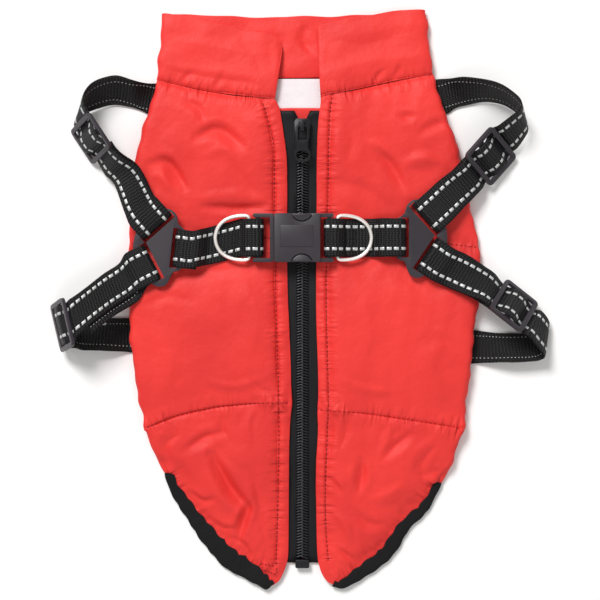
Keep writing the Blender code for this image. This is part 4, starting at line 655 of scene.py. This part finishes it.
back_cloth = {}
for seed, hand in enumerate(("left", "right")):
    panel = sewn_copy("back_" + hand, "back_cloth_" + hand, 3, 0.85)
    places, normals = points_of(panel)
    top = seen_from(panel, places, normals, 1)
    seam, quilting, band = COLLAR_SEAM[hand], QUILT_HEM[hand], QUILT_BAND[hand]
    stitch, edge, hem = PLACKET_STITCH[hand], PLACKET_EDGE[hand], HEM_LINE[hand]
    rise = FOLD_RISE * folded(places, BACK_FOLDS[hand])
    rise += drift(places, 11 + seed, 42, 0.3) + drift(places, 21 + seed, 17, 0.12)
    rise += puckers(places, seam, 100 + 10 * seed, 0.5, 5.0)
    rise += puckers(places, quilting, 101 + 10 * seed, 0.6, 6.0)
    rise += puckers(places, band, 102 + 10 * seed, 0.4, 9.0)
    rise += puckers(places, stitch, 170 + seed, 0.5, 4.0, (5.6, 8.6, 13.0))
    rise += puckers(places, edge, 180 + seed, 0.4, 2.5, (5.2, 9.1))
    rise += puckers(places, hem, 190 + seed, 1.0, 9.0, (11.0, 15.0))
    rise += swell(places, stitch, -0.7, 1.0) + swell(places, quilting, -0.35, 1.1)
    # wadding fills out the solid's valley over the quilting, but less of it at the placket's edge
    filled = swell(places, quilting, 2.4, 7.5) + swell(places, quilting, 0.6, 2.4)
    rise += filled * np.clip(np.abs(beside(places, edge).away) / 6, 0.3, 1) + swell(places, band, 1.2, 8.0)
    rise += swell(places, seam, -0.7, 1.3)
    places[top, 1] += swell(places, seam, 0.55, 1.0)[top]
    free = pressed_by_band(places)
    rise = np.where(rise > 0, rise * free, rise * (0.4 + 0.6 * free))
    # between the hem's gathers the cloth puffs out over the tape, and it stays flat beneath the tape
    by = beside(places, hem)
    way = -1 if hand == "left" else 1
    beyond = way * by.away
    puff = np.exp(-((beyond + 1.6) / 3.0) ** 2)
    puff *= np.clip(0.5 + 0.65 * waves(by.along, 200 + seed, (9.5, 14.0)), 0, 1.3)
    rise = (rise + 1.5 * puff) * np.clip(1 - (beyond - 0.4) / 1.4, 0, 1)
    places[top, 0] += (0.6 * way * puff)[top]
    places[top, 1] -= (0.528 * puff)[top]
    push_out(places, normals, top, rise * np.clip((places[:, 2] - 2.2) / 4, 0.12, 1))
    under = seen_from(panel, places, normals, -1) & (normals[:, 2] < -0.6)
    places[under, 2] += np.clip(drift(places, 60 + seed, 26, 0.14), 0, 0.4)[under]
    wander_sides(places, 70 + seed)
    move_points(panel, places)
    mark_seams(panel, places, [seam, quilting, stitch, hem, band])
    place_piece(panel, PONGEE, "shell", "back_" + hand)
    back_cloth[hand] = panel

# ==== Collar ====
# A padded stand in one piece round the neck, sewn to the body and turned in at its top edge.
# Laid flat, its two fronts lie on its far side.
COLLAR_FOLDS = [(-86, 150, -60, 146, -30, 142, -0.5, 5), (-80, 170, -55, 166, -25, 160, 0.4, 8),
                (-77.5, 142.7, -74, 147, -70, 150, -0.8, 3), (-56.5, 138.6, -53, 144, -51, 149, -0.6, 3),
                (48.5, 142.6, 51, 147, 55, 151, -0.7, 3), (60.5, 144.5, 64, 150, 66, 155, -0.6, 3),
                (20, 150, 45, 156, 78, 160, 0.4, 8), (24, 170, 40, 168, 60, 172, -0.35, 7),
                (-40, 172, -30, 160, -26, 146, -0.3, 7), (5, 181, 2.6, 172, 8, 162, -1.4, 3.6),
                (-9, 177, -6, 170, -8, 160, 0.4, 4)]
COLLAR_FOLD_RISE = 1.7
collar = sewn_copy("collar", "collar_cloth", 3, 0.85)
places, normals = points_of(collar)
top = seen_from(collar, places, normals, 1)
rise = COLLAR_FOLD_RISE * folded(places, COLLAR_FOLDS)
rise += drift(places, 31, 38, 0.3) + drift(places, 33, 15, 0.12)
for seed, seam in enumerate(COLLAR_SEAM.values()):
    rise += puckers(places, seam, 130 + seed, 0.6, 5.0) + swell(places, seam, -0.7, 1.3)
    places[top, 1] -= swell(places, seam, 0.35, 1.0)[top]
push_out(places, normals, top, rise)
places[:, 1] -= 0.9 * around(places, 14, 134.5, 3)      # the right front's lower corner
wander_sides(places, 75)
crest = np.clip((places[:, 1] - 165) / 14, 0, 1)
places[:, 1] += 0.4 * crest * waves(places[:, 0], 76, (27, 44, 71))
move_points(collar, places)
mark_seams(collar, places, COLLAR_SEAM.values())
place_piece(collar, PONGEE, "shell", "collar")

# ==== Hem bindings ====
# The same black tape, gathered as it is sewn over the hem of each back panel.
# The thread draws it into nine or ten soft gathers.
HEM_MIDDLE = {"left": [(-87, -117), (-80, -130), (-70.5, -146), (-54, -165), (-37, -177), (-19, -186)],
              "right": [(90, -123), (80, -137), (66, -155), (52, -171), (35, -184), (21, -187)]}
HEM_WIDER = {"left": 1.9, "right": 0.7}         # how much wider the tape bulges halfway along
# Places where the tape's ends are drawn: to the panel's side, and to a point at the foot.
Pull = namedtuple("Pull", "x y to_x to_y reach")
HEM_CORNERS = {"left": [Pull(-87.0, -117.5, -0.9, 3.2, 5.0), Pull(-23, -190, 0.6, -1.0, 2.6),
                        Pull(-16, -190, -0.8, 2.0, 3.0)],
               "right": [Pull(90.5, -124.0, 1.6, 3.0, 5.0)]}
NUDGE = 0.05
ABOVE_ALL = 40                  # a height above the whole coat, from which its surface is looked for


def height_at(tree, x, y):
    """The height of a piece straight below a place in plan, or None where it doesn't reach."""
    hit = tree.ray_cast(Vector((x, y, ABOVE_ALL)), Vector((0, 0, -1)))[0]
    return hit.z if hit else None


for hand in ("left", "right"):
    tape = sewn_copy("hem_binding_" + hand, "hem_tape_" + hand, 3, 0.85)
    places, normals = points_of(tape)
    by = beside(places, HEM_MIDDLE[hand])
    slope = np.column_stack([beside(places + step, HEM_MIDDLE[hand]).away - by.away
                             for step in ((NUDGE, 0, 0), (0, NUDGE, 0))]) / NUDGE
    wider = HEM_WIDER[hand] * np.sin(np.pi * np.clip(by.along / by.run, 0, 1)) * np.clip(by.away / 3.5, -1, 1)
    places[:, :2] += slope * wider[:, None]
    for pull in HEM_CORNERS[hand]:
        places[:, :2] += around(places, pull.x, pull.y, pull.reach)[:, None] * (pull.to_x, pull.to_y)
    cloth_tree = tree_of(back_cloth[hand])
    for k in np.nonzero(normals[:, 2] > 0.4)[0]:
        cloth = height_at(cloth_tree, places[k, 0], places[k, 1])
        if cloth is not None and cloth < places[k, 2] + 1.2:
            places[k, 2] = max(places[k, 2], cloth + 0.3)
    move_points(tape, places)
    place_piece(tape, WOVEN_TAPE, "binding", "hem_binding_" + hand)

# ==== Zip: underlap and tapes ====
# A strip of shell cloth keeps the dog's coat out of the zip. Over it lie the two woven zip tapes,
# whose outer edges are sewn under the plackets.
CHAIN_X = 1.5
CORD_PITCH = 1.1                # the real 0.4 mm cords are too fine to show
STITCH_PITCH = 0.9
underlap = sewn_copy("zip_underlap", "zip_underlap_cloth", 2, 0.9)
place_piece(underlap, PONGEE, "shell", "zip_underlap")


def zip_tape_weave():
    """Warp-knitted zip tape: fine cords along its length, dull black."""
    made, tree, shader = finish_of("zip_tape_weave", Roughness=0.55, Specular_IOR_Level=0.22)
    place = add(tree, "TexCoord").outputs["Object"]
    cords, knit = (add(tree, "TexWave", {"Vector": place, "Scale": WAVE_REPEAT / (pitch * MM)},
                       bands_direction=way).outputs["Fac"]
                   for pitch, way in ((CORD_PITCH, 'X'), (STITCH_PITCH, 'DIAGONAL')))
    both = add(tree, "Math", {0: cords, 1: knit}, operation='ADD')
    tone = add(tree, "MapRange", {"Value": both, "From Max": 2.0})
    colour = add(tree, "Mix", {"Factor": tone, "A": "#0B0B0D", "B": "#17171A"}, data_type='RGBA')
    relief = add(tree, "Bump", {"Height": both, "Strength": 0.5, "Distance": 0.12 * MM})
    dress(shader, Base_Color=colour, Normal=relief)
    return made


ZIP_TAPE = zip_tape_weave()
for hand, way in (("left", -1), ("right", 1)):
    tape = sewn_copy("zip_tape_" + hand, "zip_tape_cloth_" + hand, 2, 1.0)
    places = points_of(tape)[0]
    # towards the top, the tape opens in a notch at the chain, and its corners roll up
    height = np.clip((places[:, 1] - 113) / 11, 0, 1) ** 2
    inner = np.clip(1 - np.abs(places[:, 0] - CHAIN_X) / 9, 0, 1)
    places[:, 0] += way * 2.6 * height * inner
    places[:, 2] += (1.3 * around(places, CHAIN_X + way * 5.6, 121.5, 2.4)
                     + 0.8 * around(places, CHAIN_X + way * 10, 123, 2.6))
    move_points(tape, places)
    place_piece(tape, ZIP_TAPE, "binding", "zip_tape_" + hand)

# ==== Zip: chain ====
# A moulded coil zip, closed: each tooth's head locks between two heads of the other side.
# The teeth are one run of black nylon, pressed round the tapes' inner edges.
TOOTH_PITCH = 1.85
CHAIN_TOP = 105.5
CHAIN_FOOT = -170.4
TOOTH_LEAN = 0.275
TOOTH_WAIST = 1.4               # across the tooth, to where it narrows as it rises
TOOTH_CROWN = 1.6               # its highest place; the crown falls away by 12% over 2.4 mm
TOOTH_LEVELS = ((0.35, 1.0), (1.55, 0.9), (1.95, 0.55))         # height above the tape, and share of its width
# A tooth from above: across from its own side's tape to past the chain's middle, and along the chain.
TOOTH_OUTLINE = [(3.9, -0.34), (3.9, 0.34), (2.9, 0.46), (1.4, 0.42), (0.3, 0.34), (-0.2, 0.5), (-0.85, 0.36),
                 (-0.85, -0.36), (-0.2, -0.5), (0.3, -0.34), (1.4, -0.42), (2.9, -0.46)]
# black nylon: smooth from the mould, so each head has a small sharp light
black_nylon = finish_of("black_nylon", Base_Color="#222226", Roughness=0.3, Specular_IOR_Level=0.62)[0]
tape_tree = tree_of(bpy.data.objects["zip_tape_cloth_left"], bpy.data.objects["zip_tape_cloth_right"])
vertices, faces = [], []
for k in range(int((CHAIN_TOP - CHAIN_FOOT) / TOOTH_PITCH)):
    row = CHAIN_TOP - TOOTH_PITCH * k
    seat = height_at(tape_tree, CHAIN_X + 2.5, row) or 2.0
    for side in (-1, 1):
        middle = row - (TOOTH_PITCH / 2 if side > 0 else 0)
        faces += [face[::side] for face in tube(len(vertices), len(TOOTH_OUTLINE), len(TOOTH_LEVELS))]
        for height, share in TOOTH_LEVELS:
            for across, along in TOOTH_OUTLINE:
                x = CHAIN_X + side * (TOOTH_WAIST + (across - TOOTH_WAIST) * (0.5 + 0.5 * share))
                y = middle + along * share - (across - 1.0) * TOOTH_LEAN
                vertices.append((x, y, seat + height * (1 - 0.12 * ((across - TOOTH_CROWN) / 2.4) ** 2)))
teeth = mesh_piece("zip_teeth", vertices, faces)
place_piece(teeth, black_nylon, "zip", "zip_chain")

# ==== Zip: box, slider and pull ====
# Die-cast zinc, lacquered black. The slider's crown holds the pull's bail, which swings on it;
# the box at the foot holds the two ends of the chain together.
# black lacquer: metal shows through it as a soft glint, and wear breaks that up
lacquer, tree, shader = finish_of("black_lacquer", Base_Color="#1A1A1D", Metallic=0.55,
                                  Specular_IOR_Level=0.6)
speck = add(tree, "TexNoise", {"Vector": add(tree, "TexCoord").outputs["Object"], "Scale": 600.0, "Detail": 2.0})
dress(shader, Roughness=add(tree, "MapRange", {"Value": speck, "To Min": 0.36, "To Max": 0.5}))


def round_edges(piece, width, segments, limit=30):
    """Bevel a hard piece's edges, and shade it smooth between the corners that are left."""
    apply(piece, 'BEVEL', width=width * MM, segments=segments, limit_method='ANGLE',
          angle_limit=math.radians(limit))
    only(piece)
    bpy.ops.object.shade_smooth_by_angle(angle=math.radians(40))


def hard_copy(node, name, bevel, segments=3):
    """A hard solid's copy, its flats joined up again and its edges rounded."""
    piece = merged_copy(node, name, flats=True)
    round_edges(piece, bevel, segments)
    return piece


for node, bevel, body in (("zip_box", 0.45, "root"), ("zip_slider", 0.22, "root"), ("zip_pull", 0.3, "pull")):
    part = hard_copy(node, node + "_casting", bevel, segments=2)
    place_piece(part, lacquer, "zip", node, body=body)

# ==== Buckle ====
# Side-release buckle of moulded acetal, fastened. Prongs of the left half are sprung inside the right half;
# they show as two rounded buttons in its sides.
BUCKLE_X, BUCKLE_Y = 1.2, 40.6
BUCKLE_EDGE = 15.5              # from its middle to its long sides
BUTTON_X, BUTTON_Y = 7.2, 7.4   # a button's half width, and how far it reaches in from its middle
BUTTON_MIDDLE = 18.45
BUTTON_LOW, BUTTON_HIGH = 13.9, 16.7
PLATE_MIDDLE = (-2.15, 41.75, 17.25)
PLATE_SIZE = (21.5, 14.1, 0.7)
# acetal: close-grained from the mould, so its shine is low and even
acetal = mottled("moulded_acetal", "#262127", "#332D34", 40.0, {"Scale": 900.0}, 0.35, 0.06, Roughness=0.42,
                 Specular_IOR_Level=0.5)
for node in ("buckle_male", "buckle_female"):
    part = hard_copy(node, node + "_moulding", 0.55)
    place_piece(part, acetal, "plastic", node)
for name, way in (("buckle_button_far", 1), ("buckle_button_near", -1)):
    arc = [(BUTTON_X * math.cos(turn), BUTTON_MIDDLE - BUTTON_Y * math.sin(turn))
           for turn in (math.pi * k / 24 for k in range(25))]
    arc = [(x, y) for x, y in arc if y <= BUCKLE_EDGE]
    arc = [(arc[0][0], BUCKLE_EDGE + 0.1)] + arc + [(arc[-1][0], BUCKLE_EDGE + 0.1)]
    arc = [(BUCKLE_X + x, BUCKLE_Y + way * y) for x, y in arc]
    button = mesh_piece(name, [(x, y, z) for z in (BUTTON_LOW, BUTTON_HIGH) for x, y in arc],
                        [face[::-way] for face in tube(0, len(arc), 2)])
    round_edges(button, 0.4, 2, limit=50)
    place_piece(button, acetal, "plastic")
bpy.ops.mesh.primitive_cube_add(size=1, location=Vector(PLATE_MIDDLE) * MM)
plate = bpy.context.active_object
plate.name = "buckle_plate"
plate.scale = Vector(PLATE_SIZE) * MM
bpy.ops.object.transform_apply(location=True, rotation=True, scale=True)
round_edges(plate, 0.3, 3)
place_piece(plate, acetal, "plastic")

# ==== Connectors ====
# Flat Y-shaped plates of the same acetal, one each side. Each has three bars, and the band,
# the chest strap and the belly strap fold round them.
for hand in ("left", "right"):
    part = hard_copy("connector_" + hand, "connector_moulding_" + hand, 0.5)
    place_piece(part, acetal, "plastic", "connector_" + hand)

# ==== Tri-glides ====
# A moulded slide on each strap, to set its length: the strap goes over the middle bar and back.
# They are of the same acetal as the buckle.
for node in ("chest_glide_left", "chest_glide_right", "belly_glide_left", "belly_glide_right"):
    part = hard_copy(node, node + "_moulding", 0.5)
    place_piece(part, acetal, "plastic", node)

# ==== Harness bands ====
# Two short bands of the same webbing, each from a connector to its half of the buckle.
# Each is doubled back at both ends and sewn down with a boxed row of stitches.
for seed, hand in enumerate(("left", "right")):
    node = "harness_band_" + hand
    line = evenly(sections_of(node, from_outside=True))
    band = webbing_piece(node + "_webbing", line, 60 + seed)
    place_piece(band, WEBBING_YARN_PAINTED_LIGHT, "webbing", node)
    rows = dashes(node + "_dashes", line, ways=(1, -1))
    place_piece(rows, REFLECTIVE_YARN, "webbing")

# ==== D-rings ====
# Bent from 2.7 mm steel wire, nickel plated, with a butt joint hidden in the fold of the band.
# Each swings on its straight side. The plating is a warm white metal that mirrors the light softly.
nickel = finish_of("nickel_plate", Base_Color="#FFF8F2", Roughness=0.3, Metallic=0.6)[0]
for hand in ("left", "right"):
    ring = merged_copy("d_ring_" + hand, "ring_wire_" + hand)
    apply(ring, 'SUBSURF', levels=2, render_levels=2)
    bpy.ops.object.shade_smooth()
    place_piece(ring, nickel, "nickel", "d_ring_" + hand, body="ring_" + hand)

# ==== Stitching ====
# Red polyester thread along the seams, the quilting and the plackets, painted darker with the shade of its dent;
# black on the tape and the webbing.
# Each stitch lies in the dent that it pulls.
# polyester thread: dull; the two reds are painted darker than the cloth, as painted shade of the dent each stitch
# lies in
RED_THREAD_PAINTED_SHADE, QUILTING_THREAD_PAINTED_SHADE, BLACK_THREAD = (
    finish_of(name, Base_Color=colour, Roughness=0.6, Specular_IOR_Level=0.3)[0]
    for name, colour in (("red_thread_painted_shade", "#7C1519"), ("quilting_thread_painted_shade", "#A3211F"), ("black_thread", "#17171A")))
STITCH_ARCH = ((0, -0.5), (0.22, 0.45), (0.5, 0.62), (0.78, 0.45), (1, -0.5))   # along a stitch, and how high
THREAD_SIDES = 5


def threads(name, ends, gauge):
    """Stitches from their ends and the way the cloth faces, in millimetres: each is a low arch of thread."""
    vertices, faces = [], []
    for start, stop, up in ends:
        faces += [face[::-1] for face in tube(len(vertices), THREAD_SIDES, len(STITCH_ARCH))]
        side = (stop - start).cross(up).normalized()
        for step, high in STITCH_ARCH:
            middle = start.lerp(stop, step) + up * (high * gauge)
            for turn in range(THREAD_SIDES):
                angle = 2 * math.pi * turn / THREAD_SIDES
                vertices.append(middle + (side * math.cos(angle) + up * math.sin(angle)) * gauge / 2)
    return mesh_piece(name, vertices, faces)


Row = namedtuple("Row", "pitch length")
PLACKET_ROW, QUILTING_ROW, TACK_ROW = Row(2.9, 2.4), Row(3.0, 2.1), Row(2.2, 1.6)
TAPE_ROW, BAND_ROW = Row(3.2, 2.3), Row(2.6, 1.9)


def on_cloth(line, tree, row, seed, way=-1):
    """Ends of the stitches along a line in plan, laid on the cloth beneath (way -1) or above it (way 1)."""
    dice = random.Random(seed)
    spots = np.array(curve_through(line, 12))
    runs = np.concatenate([[0], np.cumsum(np.hypot(*np.diff(spots, axis=0).T))])
    ends, run = [], 1.0
    while run + row.length < runs[-1]:
        pair = []
        for r in (run, run + row.length):
            x, y = np.interp(r, runs, spots[:, 0]), np.interp(r, runs, spots[:, 1])
            start = Vector((x + dice.uniform(-0.12, 0.12), y, -ABOVE_ALL * way))
            pair.append(tree.ray_cast(start, Vector((0, 0, way)))[0])
        if None not in pair and abs(pair[0].z - pair[1].z) < 1.2:
            ends.append((pair[0], pair[1], Vector((0, 0, -way))))
        run += row.pitch * dice.uniform(0.96, 1.04)
    return ends


BOX_TACK = [(-26.5, -173), (-15.5, -175), (-15, -181), (-24, -177.5), (-26.5, -173)]
red_ends, quilting_ends = [], []
for seed, hand in enumerate(("left", "right")):
    back_tree = tree_of(back_cloth[hand])
    red_ends += on_cloth(PLACKET_STITCH[hand], back_tree, PLACKET_ROW, 300 + seed)
    quilting_ends += on_cloth(QUILT_HEM[hand], back_tree, QUILTING_ROW, 310 + seed)
    quilting_ends += on_cloth(QUILT_BAND[hand], back_tree, QUILTING_ROW, 320 + seed)
    if hand == "left":
        for a, b in zip(BOX_TACK, BOX_TACK[1:]):
            red_ends += on_cloth([a, b], back_tree, TACK_ROW, 330)
place_piece(threads("red_stitches", red_ends, 0.5), RED_THREAD_PAINTED_SHADE, "shell")
place_piece(threads("quilting_stitches", quilting_ends, 0.5), QUILTING_THREAD_PAINTED_SHADE, "shell")

HEM_ROW = {"left": [(-82, -121), (-74, -133), (-62, -150), (-46, -167), (-31, -176), (-20, -182)],
           "right": [(86, -127), (76, -140), (60, -157), (47, -173), (32, -182), (22, -185)]}
BELLY_HEM_ROW = [(-66, -95.5), (-40, -89.5), (0, -87), (40, -89.5), (72, -95.5)]
LEG_HOLE_X = {"left": -53, "right": 56}
BAND_ROWS_X = {"left": (-41.5, -43.7), "right": (33.0, 35.2)}
black_ends = []
for seed, hand in enumerate(("left", "right")):
    hem_tree, leg_tree, band_tree = (tree_of(bpy.data.objects[name]) for name in (
        "hem_tape_" + hand, "leg_tape_" + hand, "harness_band_" + hand + "_webbing"))
    black_ends += on_cloth(HEM_ROW[hand], hem_tree, TAPE_ROW, 340 + seed)
    turns = [k * math.pi / 8 for k in range(17)]
    hole = [(LEG_HOLE_X[hand] + 24 * math.cos(turn), 60 + 34 * math.sin(turn)) for turn in turns]
    black_ends += on_cloth(hole, leg_tree, TAPE_ROW, 350 + seed, way=1)
    for x in BAND_ROWS_X[hand]:
        black_ends += on_cloth([(x, 30.5), (x, 50.5)], band_tree, BAND_ROW, 360 + seed)
belly_tree = tree_of(bpy.data.objects["belly_hem_tape"])
black_ends += on_cloth(BELLY_HEM_ROW, belly_tree, TAPE_ROW, 370, way=1)
place_piece(threads("black_stitches", black_ends, 0.42), BLACK_THREAD, "binding")

# ==== Floor, light and camera ====
# Matt white paper under the coat, with a large soft light at the far left and two weak ones to fill.
# The camera hangs straight above, where the photograph's did.
bpy.ops.mesh.primitive_plane_add(size=3.0, location=(0, 0, -0.0004))
floor = bpy.context.active_object
floor.name = "floor"
floor.data.materials.append(finish_of("pale_paper", Base_Color="#F4F3F2", Roughness=0.9)[0])

CAMERA_HEIGHT = 1.1
HALF_FRAME = 0.198              # metres from the middle of the frame to its edge
SENSOR = 36.0
bpy.ops.object.camera_add(location=(0, 0, CAMERA_HEIGHT), rotation=(0, 0, 0))
camera = bpy.context.active_object
camera.data.sensor_width = SENSOR
camera.data.lens = SENSOR / 2 / (HALF_FRAME / CAMERA_HEIGHT)
bpy.context.scene.camera = camera

# Each light's name, place, size in metres and power in watts.
SOFTBOXES = [("key", (-1.1, 2.0, 2.4), 1.2, 110), ("fill_right", (1.5, -1.2, 2.4), 2.0, 11),
             ("fill_left", (-0.6, -2.0, 2.2), 1.8, 12)]
for name, spot, size, power in SOFTBOXES:
    bpy.ops.object.light_add(type='AREA', location=spot)
    light = bpy.context.active_object
    light.name = name
    light.data.size = size
    light.data.energy = power
    light.rotation_euler = (-Vector(spot)).to_track_quat('-Z', 'Y').to_euler()
world = bpy.data.worlds.new("studio")
bpy.context.scene.world = world
world.use_nodes = True
for socket, value in (("Color", "#FFFFFF"), ("Strength", 0.36)):
    give(world.node_tree.nodes["Background"].inputs[socket], value)
bpy.context.scene.view_settings.view_transform = 'Standard'
